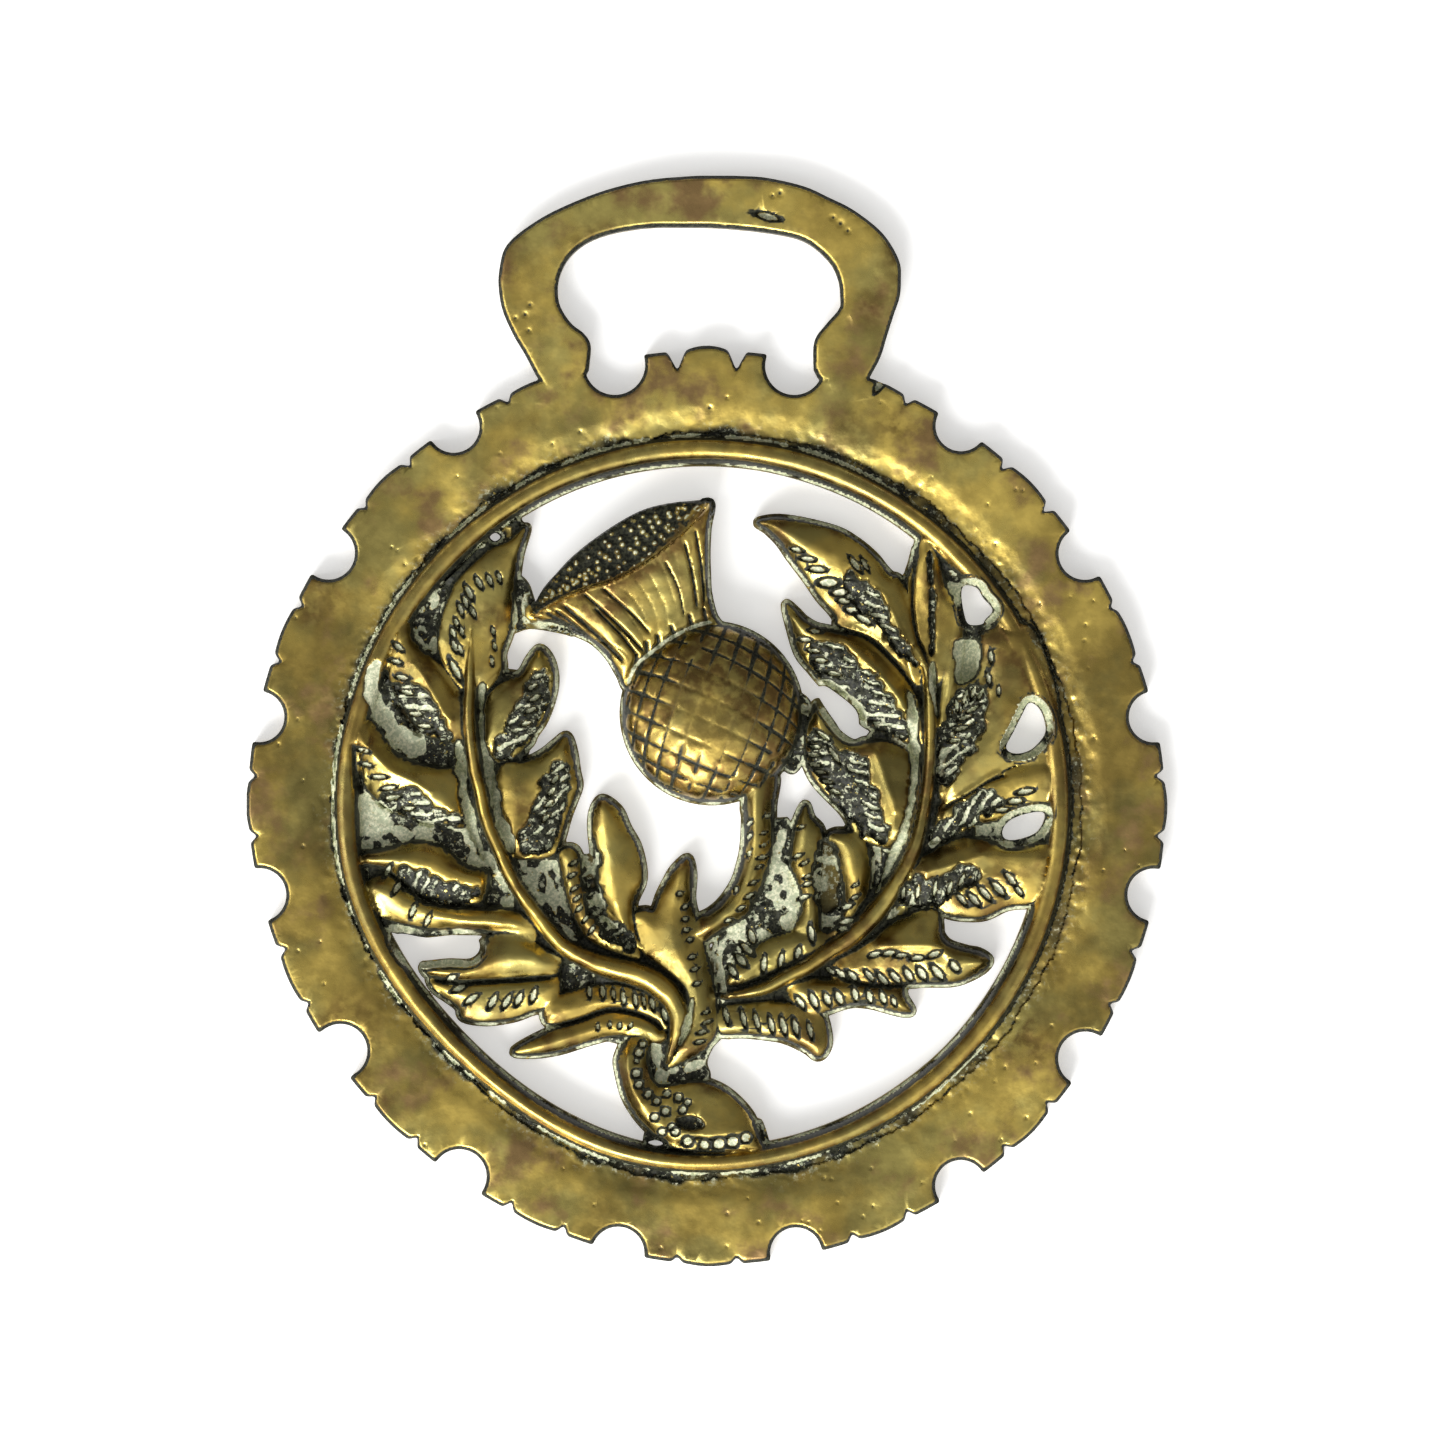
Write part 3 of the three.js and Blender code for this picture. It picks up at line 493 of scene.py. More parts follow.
# Sprays: each lobe has its outline, its ridge, the height of its edge and of its crest
LEAVES = [
    # Left spray, outer lobes from the tip down
    ([(-19.3, 9.2), (-18.2, 9.4), (-16.9, 11.2), (-16.9, 12.6), (-16.2, 14.7), (-15.9, 17.6),
      (-15.5, 20.7), (-14.9, 23), (-16.3, 21.9), (-18, 21), (-20.4, 18.7), (-21.1, 17.6),
      (-21.8, 15.9), (-22.1, 14.3), (-22.2, 13.2), (-21.6, 11.5), (-20.2, 9.6)],
     [(-18.6, 11), (-18, 14.5), (-16.9, 18.5), (-15.5, 21.9)], 2.5, 3.5),
    ([(-20.2, 5.2), (-21.6, 5.4), (-23.4, 6), (-25.1, 8.3), (-25.6, 9.1), (-26.3, 11),
      (-26.6, 12.4), (-25.9, 14.6), (-25.1, 15.8), (-24.4, 15.1), (-24.2, 14), (-23.7, 13.2),
      (-22.8, 12.3), (-21.4, 11), (-19.9, 8.5)],
     [(-25, 14), (-24.6, 12.4), (-23.2, 10.6), (-22, 8.6), (-20.8, 6.9)], 2.3, 3.9),
    ([(-19.8, -1.5), (-21.4, -1.6), (-23.4, -1.2), (-25.2, -0.8), (-26.3, -0.1), (-27.5, 0.8),
      (-28.1, 1.7), (-28.6, 3), (-29.2, 5), (-28.9, 7.2), (-27.6, 7), (-26.5, 5.5), (-25.4, 4.2),
      (-24, 3.6), (-22.2, 3.2), (-20, 2.6)],
     [(-28.6, 5.6), (-26.6, 3.3), (-24.2, 2.1), (-22.4, 1), (-20.6, -0.6)], 2.3, 3.9),
    ([(-18.4, -7.6), (-20, -8.1), (-22.5, -7.9), (-24.5, -6.9), (-26.2, -5.4), (-28.6, -4.9),
      (-28.3, -3.9), (-26.2, -3.4), (-24, -2.9), (-22, -3.3), (-20, -4.8), (-18, -5.6)],
     [(-27.6, -4.4), (-25.4, -4.4), (-23, -4.6), (-21, -5.6), (-18.6, -6.3)], 2.3, 3.9),
    ([(-14.2, -11.2), (-16, -10.5), (-18.6, -10.3), (-22.5, -10.2), (-25.2, -9.7), (-27.6, -8.6),
      (-28.2, -6.4), (-26.2, -5.8), (-24.5, -7.1), (-22.5, -8.1), (-20, -8.4), (-17, -8.4),
      (-14.4, -9.4)],
     [(-27, -6.8), (-24.5, -7.8), (-22, -8.8), (-19, -9.5), (-16, -9.9)], 2.3, 3.6),
    # Left spray, lobes along its foot
    ([(-12, -12.6), (-13.3, -11.8), (-14.5, -11.1), (-16, -10.4), (-17.6, -10.6), (-18.6, -11.4),
      (-19.6, -12.6), (-21.5, -12.9), (-23.4, -13.2), (-22.8, -14.1), (-20.6, -14.6),
      (-18.4, -14.4), (-15, -14.2), (-12.6, -13.9)],
     [(-22.6, -13.6), (-19.5, -13.6), (-18, -13), (-16.5, -12.4), (-14.2, -12.4)], 2.3, 3.7),
    ([(-12.2, -14.2), (-15, -14.3), (-18.4, -14.5), (-20.6, -14.6), (-22.8, -14.1), (-22.5, -15.1),
      (-21.4, -15.9), (-20.5, -16.6), (-20.1, -17.5), (-18.2, -17.8), (-16, -17.5), (-14.6, -17),
      (-12.6, -16.2)],
     [(-21.6, -15.1), (-19.4, -15.3), (-16.5, -15), (-13.4, -15)], 2.2, 3.1),
    ([(-3.2, -16.6), (-4.6, -15.5), (-7.2, -14.8), (-9.7, -14.9), (-12, -15.6), (-13.4, -16.6),
      (-13.2, -17.9), (-11.6, -17.8), (-10.3, -17.4), (-8.8, -16.9), (-7.3, -16.8), (-5.4, -17.2),
      (-3.4, -18.4)],
     [(-12.6, -17), (-9.4, -16.3), (-6.6, -16.2), (-4, -17.2)], 2.2, 3.0),
    ([(-3.3, -18.9), (-4.4, -17.9), (-5.6, -17.3), (-7.5, -16.9), (-8.9, -17.2), (-10.4, -17.8),
      (-13, -18.6), (-15.9, -20.2), (-14.6, -20.5), (-12.2, -20.2), (-9.6, -19.4), (-7.4, -18.9),
      (-5.4, -19), (-4, -19.6)],
     [(-14.8, -20), (-12, -19.2), (-9.4, -18.4), (-7, -18), (-4.6, -18.6)], 2.2, 3.1),
    # Left spray, inner lobes from the tip down
    ([(-18.4, 4.2), (-16.6, 3.8), (-14.8, 5), (-14.3, 5.9), (-13.5, 7.1), (-12.8, 9), (-12.6, 10.7),
      (-13, 12.2), (-13.8, 13), (-14.6, 12.2), (-15.3, 11), (-16.3, 10.4), (-17.6, 9.6),
      (-18.4, 8)],
     [(-17.9, 5.4), (-16.4, 7.8), (-14.8, 10.4), (-13.9, 12.2)], 2.3, 3.7),
    ([(-16.6, -3.6), (-14.8, -4.4), (-12.6, -3.9), (-11.5, -0.8), (-11, 0.5), (-10.6, 1.7),
      (-10.8, 2.8), (-11.1, 4.7), (-11.6, 5.8), (-12.5, 5.2), (-13.5, 4.4), (-15.1, 3.6),
      (-16.9, 3.3), (-17.6, 1)],
     [(-16, -2.6), (-15.2, 0), (-13.8, 2.4), (-12.2, 4.6)], 2.3, 3.7),
    ([(-5.6, -12.6), (-8, -11.9), (-10, -10.7), (-11.3, -8.4), (-12, -5.6), (-12.2, -3.9),
      (-11.3, -3.4), (-10.6, -4), (-10.2, -6), (-9.6, -8), (-8.2, -9.9), (-6.2, -11)],
     [(-11.3, -4.2), (-11.2, -6.4), (-10.3, -8.8), (-8.6, -10.6), (-6, -11.9)], 2.3, 3.2),
    ([(-5, -12), (-5.9, -10.6), (-6.1, -8.2), (-5.3, -6), (-5.7, -3.5), (-6.6, -1.8), (-7.3, -0.3),
      (-8.6, 0.6), (-9.3, -0.2), (-9.5, -1.6), (-9.3, -4), (-9, -7), (-8, -9.2), (-6.6, -11)],
     [(-8.5, -0.2), (-8, -3), (-7.5, -6), (-7, -9), (-5.8, -11.2)], 2.3, 3.5),
    # Left spray, the lobe beside the stem
    ([(-3.3, -21.6), (-2.8, -20.2), (-2, -17.6), (-1.8, -15.6), (-2.6, -14.5), (-4, -13.4),
      (-5, -12.5), (-5.5, -11), (-6, -9), (-5.1, -8.6), (-4.4, -8.7), (-3.9, -7.4), (-3.3, -6.2),
      (-2.7, -5.2), (-1.6, -4.3), (-1.2, -5.6), (-1.3, -7.6), (-1, -9), (-0.5, -10.5), (-0.1, -12),
      (0.4, -14), (0.7, -15.5), (0.85, -17), (0.8, -18.6), (0.3, -19.5), (-0.3, -20.2),
      (-1.5, -20.9)],
     [(-2, -5.4), (-2.4, -8), (-2.6, -11), (-1.2, -14.4), (-0.5, -17.6), (-1.6, -20)], 2.4, 3.7),
    # Right spray, inner lobes from the tip down
    ([(18, 10.4), (17, 10.2), (15.6, 12), (13.4, 14), (10.9, 14.8), (10.7, 15.5), (10.2, 16.2),
      (9.3, 17.2), (8.2, 18.8), (6.9, 20.5), (6, 21.8), (5, 22.8), (4.2, 23.4), (5.5, 23.7),
      (7, 23.6), (9, 23.2), (11, 22.6), (12.5, 21.7), (13.8, 20.6), (14.6, 19.6), (15.2, 19),
      (16, 18.5), (17.4, 15)],
     [(5.6, 23), (8.4, 21.4), (11.5, 19.8), (14.3, 18), (15.4, 16), (17, 13.4)], 2.4, 3.7),
    ([(17.9, 4.6), (16.6, 5.2), (14.8, 6), (13, 6.9), (12.3, 7.95), (11, 9.1), (9.7, 10),
      (8.55, 11.3), (7.6, 12.5), (7, 14.3), (6.5, 16.6), (7.3, 16.1), (8, 15.4), (9, 14.8),
      (10.3, 14.5), (13.2, 13.6), (15.4, 11.6), (17, 9.4), (18, 7)],
     [(7, 15.6), (9.4, 14), (11.2, 13.6), (12.6, 12.4), (14.2, 10.9), (15.6, 9.2),
      (16.7, 7)], 2.3, 3.9),
    ([(16.9, -3.6), (14.4, -3.4), (12.4, -2.4), (11.6, -1), (11, -0.2), (10, 0.8), (9, 1.9),
      (8.3, 3.2), (8.1, 4.7), (8.2, 6.2), (8.6, 7.5), (9.2, 8.5), (10.15, 6.9), (10.8, 5.9),
      (12.1, 5.1), (13.2, 5.4), (15, 5.2), (17, 4), (17.9, 2), (17.7, -1)],
     [(9.4, 7.4), (11.4, 4.8), (13.8, 4.4), (14.6, 2.4), (15.4, 0.4), (15.8, -1.8)], 2.3, 3.8),
    # Right spray, lobes beside the stem
    ([(9.4, -11), (7.4, -10.6), (7.2, -10), (7.7, -8.8), (7.8, -7.5), (7.4, -6.2), (6.9, -5),
      (7, -3.3), (7.3, -1.5), (8.1, 0.1), (8.6, -1), (9.4, -1.9), (9.5, -3.4), (9.4, -6),
      (9.3, -9.4)],
     [(8.1, -0.8), (8, -3.4), (8, -6), (8.6, -8.4), (8.6, -10.4)], 2.3, 3.4),
    ([(9.4, -11.2), (10.9, -9.6), (11.3, -8), (11.2, -6.2), (10.6, -4), (10, -2.6), (10.9, -2.1),
      (12.7, -2.5), (13.4, -4.3), (13.5, -6), (13.2, -7.2), (12.4, -8.6), (11.2, -10.2)],
     [(11.4, -2.8), (12.1, -4.8), (12.3, -6.8), (11.8, -8.6), (10.6, -10.4)], 2.3, 3.5),
    ([(10.4, -11.4), (9, -10), (6.6, -10.4), (4.2, -11.4), (2.2, -13.2), (1.6, -14.6), (3, -14.6),
      (5.6, -13.6), (8, -12.6), (10, -12)],
     [(9, -11), (6.6, -11.6), (4.4, -12.7), (2.6, -14)], 2.3, 3.3),
    # Right spray, its tip
    ([(18.2, 10), (17.6, 13), (16.8, 16), (16.6, 18.6), (17.2, 20.6), (17.8, 22.3), (18.7, 21.3),
      (19.3, 19.4), (20, 17.5), (21, 16.7), (21.1, 15), (20.5, 13.5), (20.2, 12), (19.2, 10)],
     [(18.6, 10.8), (19.6, 13.6), (19.4, 17), (18.4, 20.6)], 2.3, 3.4),
    ([(18.8, 5.6), (19, 8), (19.4, 10.6), (19.6, 13.6), (20.2, 16.8), (21.2, 16.8), (21.3, 14.4),
      (21, 11.4), (20.3, 8), (19.6, 5.6)],
     [(19.3, 6.6), (19.9, 10), (20.4, 13.4), (20.7, 16)], 2.3, 3.5),
    # Right spray, outer lobes from the tip down
    ([(19.4, 0.4), (21.6, 0.6), (23.2, 2), (25.4, 3.4), (28.4, 3.6), (29, 8), (28, 12),
      (26.6, 14.8), (24.4, 15.2), (23.8, 14.8), (22.6, 14.2), (22.3, 12.4), (22, 10.6), (20.6, 9.8),
      (19.9, 8), (19.2, 5.6), (19.1, 2.6)],
     [(20.2, 2), (22.4, 4.4), (24, 8), (24.6, 11.6), (25.2, 14)], 2.4, 3.7),
    ([(18.9, -1.2), (19.3, 0.2), (21, 0.9), (23, 2.1), (26, 3.4), (28.4, 3.6), (28.6, 1.2),
      (27.6, 0.1), (25.6, -0.4), (24, -1.2), (22, -1.6), (20, -2.6), (18.5, -2.9)],
     [(19.6, -0.5), (22, 0.7), (24.6, 2), (27.6, 2.6)], 2.3, 3.4),
    ([(17.2, -4.4), (18.4, -3.9), (20, -3), (21.8, -2.6), (23.3, -2.9), (25, -3.4), (27.9, -3.2),
      (28.3, -6), (27, -7.9), (25.3, -8.2), (24.5, -8.4), (23, -9.1), (21.5, -9.2), (20, -9),
      (18.8, -8.4), (17.5, -8.1), (15.8, -7.9), (15.9, -6.2)],
     [(16.8, -5.7), (19.4, -5), (21.6, -4.3), (24, -4), (27.6, -4.4)], 2.3, 3.8),
    # Right spray, lobes along its foot
    ([(12.6, -11.6), (14, -10.6), (16, -9.3), (18, -8.6), (19, -8.8), (19.2, -9.8), (19.3, -10.6),
      (20, -11.4), (21.5, -11.9), (22.5, -12.1), (23.3, -12.7), (22.8, -13.5), (21.3, -14.3),
      (20, -14.6), (18, -14.6), (16.8, -14.7), (13.4, -14.8), (10.4, -14.2), (10.6, -12.8)],
     [(13.6, -11.5), (16, -11.4), (18.8, -11.5), (20.6, -12.3), (22.4, -12.8)], 2.3, 3.8),
    ([(8.5, -14.2), (11.5, -14.4), (14, -14.7), (15.9, -14.9), (16.3, -15.8), (16.9, -16.9),
      (16.3, -17.1), (15, -16.8), (13.5, -16.4), (12, -16.3), (10.8, -16.6), (10, -16.9),
      (8.6, -17.2), (7, -16), (6.6, -14.8)],
     [(7.6, -15), (10.4, -14.9), (13.4, -15.1), (15.6, -15.6), (16.3, -16.6)], 2.3, 3.5),
    ([(1, -16.8), (3.4, -16.3), (6.2, -16.2), (8.4, -17), (9.5, -17.3), (9.9, -18.4), (10, -19.6),
      (9.6, -20.5), (9, -20.7), (8.2, -20.1), (6.5, -19.3), (5, -19), (3, -18.8), (1.1, -18.7)],
     [(1.8, -18.3), (5, -18.4), (7.6, -19), (9.2, -20)], 2.2, 3.0),
]
for outline, ridge, edge, crest in LEAVES:
    leaf(outline, ridge, edge, crest)

# Midribs
LEFT_RIB = [
    (-19.3, 14.8), (-19.45, 12.4), (-19.5, 10), (-19.6, 7), (-19.2, 3.4), (-18.7, 1.3), (-18.2, -1),
    (-17.1, -3.7), (-16, -6.1), (-14.6, -8.2), (-13, -10.3), (-11.6, -11.7), (-9.5, -12.8),
    (-8, -13.3), (-6, -13.8), (-4.4, -14.5), (-3.1, -15.6), (-2.4, -16.9), (-2.3, -18),
    (-2.6, -19.2), (-3.3, -21.2),
]
RIGHT_RIB = [
    (17.2, 13), (18, 11.5), (18.35, 9), (18.4, 6), (18.35, 4), (18.2, 2), (17.9, 0), (17.4, -2.5),
    (16.7, -4.3), (15.7, -6.2), (14.5, -8), (13.4, -9.3), (11.7, -10.9), (10, -12), (8.3, -13.2),
    (6.7, -14), (5, -14.9), (3.3, -15.4), (1.3, -15.7),
]
TIP_RIB = [(17.9, 11.5), (16.7, 12.8), (15.7, 15), (15, 16.5), (14.3, 17.7), (11.5, 19.2), (9.7, 19.8)]
bar(LEFT_RIB, [0.1, 0.4, 0.5, 0.5, 0.52, 0.52, 0.55, 0.62, 0.7, 0.85, 0.95, 0.95, 0.85, 0.6, 0.1],
    RIB_EDGE, RIB_CREST)
bar(RIGHT_RIB, [0.3, 0.45, 0.5, 0.5, 0.5, 0.52, 0.6, 0.68, 0.78, 0.8, 0.7, 0.62, 0.55, 0.45, 0.15],
    RIB_EDGE, RIB_CREST)
bar(TIP_RIB, [0.4, 0.42, 0.38, 0.3, 0.1], 2.9, 3.75)

# Stem
STEM = [
    (3.4, 2.6), (3.1, 0), (3.2, -1), (3.1, -3.3), (2.8, -4.8), (2.3, -6.3), (1.3, -7.8),
    (0.3, -8.7), (-0.9, -9.4), (-1.4, -10.6), (-0.4, -11.2), (0.5, -10.8), (1.7, -10), (3.2, -9.1),
    (3.8, -8), (4.5, -6.7), (5, -5.3), (5.3, -3.8), (5.4, -2.2), (5.4, 0), (5.6, 2.6),
]
STEM_RIDGE = [(4.1, 2), (4, -1.5), (3.9, -4.2), (3.2, -6.6), (1.9, -8.5), (0.2, -9.9)]
leaf(STEM, STEM_RIDGE, 2.3, 3.9, shoulder=0.9)

# Heel
HEEL = [
    (-6.3, -19.2), (-7, -20), (-7.4, -21), (-7.2, -22.3), (-6.8, -23.8), (-6.2, -25), (-5.2, -26.3),
    (-4, -27.3), (-2.4, -28.2), (1, -28.7), (4.4, -28.6), (4.3, -27.4), (3.9, -26.2), (3.4, -25.3),
    (2.5, -24.3), (1.5, -23.5), (0.5, -23), (-0.5, -22.7), (-1.5, -22.75), (-3.6, -23.1),
    (-4.2, -22.9), (-4.6, -22.3), (-4.8, -21.5), (-4.9, -20.5), (-4.6, -19.3), (-5.4, -19),
]
HEEL_RIDGE = [
    (-6.2, -20.4), (-6.3, -21.6), (-6.1, -22.9), (-5.2, -24.9), (-3.6, -26.4), (-1.4, -27.1),
    (1.2, -27.1), (3.4, -26.9),
]
leaf(HEEL, HEEL_RIDGE, 2.4, 3.7, shoulder=0.9)

# Flare and florets
RIM_LINE = [
    (-14.3, 15.9), (-12.2, 16.9), (-10, 17.8), (-7.5, 18.6), (-5, 20), (-3, 21.5), (-1.5, 22.8),
    (-0.5, 24), (0.2, 25),
]
DISC_EDGE = [
    (0.3, 25.1), (-1, 25.1), (-3, 24.9), (-5.1, 24.4), (-7.1, 23.4), (-9.2, 22), (-10.95, 20.6),
    (-12.3, 19.2), (-13.5, 17.8), (-14.3, 16.2),
]
NECK_LINE = [(-6.6, 9.8), (-5.9, 11.5), (-4.5, 12.7), (-3, 13.8), (-1, 14.8), (0.6, 15.2)]
FLARE = [
    (-14.3, 15.7), (-12, 15.1), (-11, 14.4), (-9.4, 13.6), (-8.1, 12.3), (-7.2, 10.8), (-6.3, 9.6),
    (-3, 11), (1.6, 13.6), (0.6, 15.6), (0.1, 17.5), (0, 19), (-0.05, 21), (0.05, 23), (0.3, 25),
    (-1.5, 24.4), (-3.5, 22.5), (-7, 19.8), (-10.5, 18.2),
]
flare = spline(FLARE)
w = window(flare, 1.2)
x, y = X[w], Y[w]
flare_d = inner(flare, x, y)
rim_far, along_rim = to_line(spline(RIM_LINE, False, 5), x, y)
neck_far, _ = to_line(spline(NECK_LINE, False, 5), x, y)
share = neck_far / (neck_far + rim_far + 0.01)
rounded = 0.9 * (1 - np.exp(-np.clip(flare_d, 0, None) / 0.6))
flare_top = 2.5 + rounded + 1.7 * share ** 1.3
fan = np.degrees(np.arctan2(y - 8.2, x - 0.6))
phase = fan * 0.17 + 0.5 * np.sin(share * 2) + 0.5 * noise(2.5, 61)[w]
spokes = np.abs((phase % 1) - 0.5) * 2
cut = 0.8 * smooth((0.2 - spokes) / 0.2) * smooth((np.minimum(share, 1 - share) - 0.06) / 0.15)
flare_top -= 0.16 * cut
flare_brown = smooth((-7.2 - x + 0.3 * (y - 14)) / 2.5) + smooth((share - 0.72) / 0.2)
put(w, walled(flare_d, flare_top, FLARE_EDGE), flare_d + 0.35)
on_flare = flare_d > 0
dirt_and_shade[w] = np.where(on_flare, np.maximum(dirt_and_shade[w], 0.6 * cut), dirt_and_shade[w])
patina_and_shade[w] = np.where(on_flare, flare_brown, patina_and_shade[w])

# The disc of florets: rows of dots between the flare's rim and the disc's outer edge
disc_d = inner(spline(RIM_LINE[:-1] + DISC_EDGE), x, y)
edge_far, _ = to_line(spline(DISC_EDGE, False, 5), x, y)
across = rim_far / (rim_far + edge_far + 0.01)
disc_top = 4.55 - 1.35 * across
outer_row = np.array(spline(DISC_EDGE[::-1], False, 6))
inner_row = np.array(spline(RIM_LINE, False, 6))
FLORET_ROWS, FIRST_ROW = 6, 26
dots = np.zeros(x.shape)
rng = np.random.default_rng(5)
for row, lift in enumerate(np.linspace(0.1, 0.9, FLORET_ROWS)):
    in_row = FIRST_ROW - row
    for i in range(in_row):
        share_along = (i + 0.5 * (row % 2) + 0.3) / in_row
        a = inner_row[int(share_along * (len(inner_row) - 1))]
        b = outer_row[int(share_along * (len(outer_row) - 1))]
        cx, cy = a + (b - a) * lift + rng.uniform(-0.2, 0.2, 2)
        size = 0.15 + 0.09 * rng.uniform()
        dots = np.maximum(dots, np.exp(-((x - cx) ** 2 + (y - cy) ** 2) / size ** 2))
dots *= smooth(disc_d / 0.25)
disc_top = disc_top + 0.3 * dots
on_disc = disc_d > 0
put(w, walled(disc_d, disc_top, DISC_EDGE_TOP), disc_d + 0.1)
dirt_and_shade[w] = np.where(on_disc, np.maximum(1 - 1.2 * dots, 0), dirt_and_shade[w])
pale[w] = np.where(on_disc, smooth((dots - 0.5) / 0.3) * 0.9, pale[w])

# The raised lip between flare and disc
lip = np.exp(-(rim_far / 0.3) ** 2) * (along_rim < 0.99)
lip_top = 3.3 + 1.85 * lip * smooth(along_rim / 0.1 + 0.3)
height[w] = np.where(rim_far < 0.75, np.maximum(height[w], lip_top), height[w])
for field in (dirt_and_shade, pale):
    field[w] *= 1 - smooth((lip - 0.35) / 0.3)

# Bulb: a dome with a net of two sets of lines
w = window([(BULB_X, BULB_Y)], BULB_R + 1)
x, y = X[w] - BULB_X, Y[w] - BULB_Y
far = np.hypot(x, y)
bulb_d = BULB_R - far
dome_rise = TOP_Z - 0.06 - BULB_EDGE
dome = BULB_EDGE + dome_rise * np.sqrt(np.clip(1 - (far / BULB_R) ** 2, 0, 1))
WRAP_RADIUS = 7.9           # the net is laid out as on a ball of this radius
lean = np.arcsin(np.clip(far / WRAP_RADIUS, 0, 0.999)) * WRAP_RADIUS / np.maximum(far, 1e-6)
sx, sy = x * lean, y * lean
lines = np.zeros(x.shape)
for turn, gap, shift in ((71, 1.72, 0.15), (-25, 1.9, 0.4)):
    a = math.radians(turn)
    across = -sx * math.sin(a) + sy * math.cos(a) + 0.012 * (sx * math.cos(a)) ** 2
    off = np.abs(((across / gap + shift) % 1) - 0.5)
    near = (0.5 - off) * gap
    broad = (0.13 + 0.07 * np.clip(far / BULB_R, 0, 1)) * (1 + 0.5 * RAGGED[w])
    lines = np.maximum(lines, np.exp(-(near / broad) ** 2) * smooth((PATCHY[w] + 1) / 0.5))
rimward = smooth((far / BULB_R - 0.35) / 0.55)
cells = lines * (0.3 + 0.7 * rimward)
dome -= (0.1 + 0.26 * rimward) * lines
put(w, walled(bulb_d, dome, BULB_EDGE), bulb_d + 0.38)
on_bulb = bulb_d > 0
dirt_and_shade[w] = np.where(on_bulb, np.clip(cells * 1.5, 0, 1), dirt_and_shade[w])
for field in (pale, gravel):
    field[w] = np.where(on_bulb, 0.0, field[w])
# Painted shade on the dome: darker towards its edge and on its upper side, over an even tarnish of 0.5
bulb_edge_shade = 0.5 * smooth((far / BULB_R - 0.6) / 0.35)
bulb_top_shade = 0.5 * smooth((x + 2 * y + 2) / 8)
patina_and_shade[w] = np.where(on_bulb, 0.5 + bulb_edge_shade + bulb_top_shade, patina_and_shade[w])
crease(NECK_LINE, 0.55, 0.8, 0.8, 0.9)

# Holes: five in the sprays with a broad margin, and three pinholes
SPRAY_HOLES = [
    [(21, 17.5), (21.3, 18.2), (22.3, 18), (22.8, 17.2), (23.6, 16.2), (23, 15.4), (22.7, 15),
     (21.6, 15), (21.2, 16)],
    [(26.6, 8.5), (27.4, 8.1), (27.9, 7), (27.9, 5.9), (27, 4.8), (26, 4.35), (25.1, 4.4),
     (24.7, 4.9), (25.3, 6.1), (26, 7.5)],
    [(24.4, -2), (25, -1.2), (26.2, -0.7), (27.6, -0.5), (27.9, -1), (27.2, -2.2), (25.6, -2.8),
     (24.6, -2.7)],
    [(12.5, 6.3), (12.3, 7.9), (10.4, 9.5), (9.6, 9.9), (9, 9.6), (9.4, 8.7), (10.4, 7.2),
     (11.2, 6.2), (12, 5.8)],
    [(-25.6, -10.6), (-23, -10.9), (-20.4, -10.75), (-19, -11), (-18.8, -11.9), (-19.6, -12.6),
     (-21.4, -12.6), (-24, -12.8), (-25, -12.2)],
]
PINHOLES = [
    [(-17.5, 22.55), (-17.05, 22.2), (-17.5, 21.85), (-17.95, 22.2)],
    [(-16.2, -18.7), (-16.5, -18.4), (-16.9, -18.7), (-16.6, -19)],
    [(-4.9, -27.8), (-4.2, -27.6), (-3.6, -27.9), (-4.2, -28.1)],
]
for outline in SPRAY_HOLES:
    pierce(outline, 0.75)
for outline in PINHOLES:
    pierce(outline, 0.2)

# Nothing reaches past the solid's own box
shape = np.minimum(shape, np.minimum(RING - BOX_GAP - np.abs(X), RING - BOX_GAP + Y))
shape = np.minimum(shape, (high.y - CENTRE_Y) / MM - BOX_GAP - Y)

# The thin margin left by the mould along every edge
flash = smooth((0.62 - shape + 0.12 * RAGGED) / 0.2) * (height < LOW_GROUND)
gravel *= (height < LOW_GROUND) | in_groove


# Creases where lobes meet: partly filled, with painted shade in what is left of them
def spread(field, cells, pick):
    """Largest or smallest value within a few cells, along both axes."""
    for axis in (0, 1):
        made = field
        for shift in range(1, cells + 1):
            for way in (-shift, shift):
                made = pick(made, np.roll(field, way, axis))
        field = made
    return field


closed = spread(spread(height, 3, np.maximum), 3, np.minimum)
gap = closed - height
in_spray = (R < ORNAMENT_RADIUS) & (shape > 0.3)
height = np.where(in_spray, height + 0.65 * gap, height)
# Painted shade: darker where a crease between lobes stays deep
dirt_and_shade = np.maximum(dirt_and_shade, in_spray * smooth((gap - 0.15) / 0.5))
gravel *= 1 - in_spray * smooth((gap - 0.1) / 0.3)

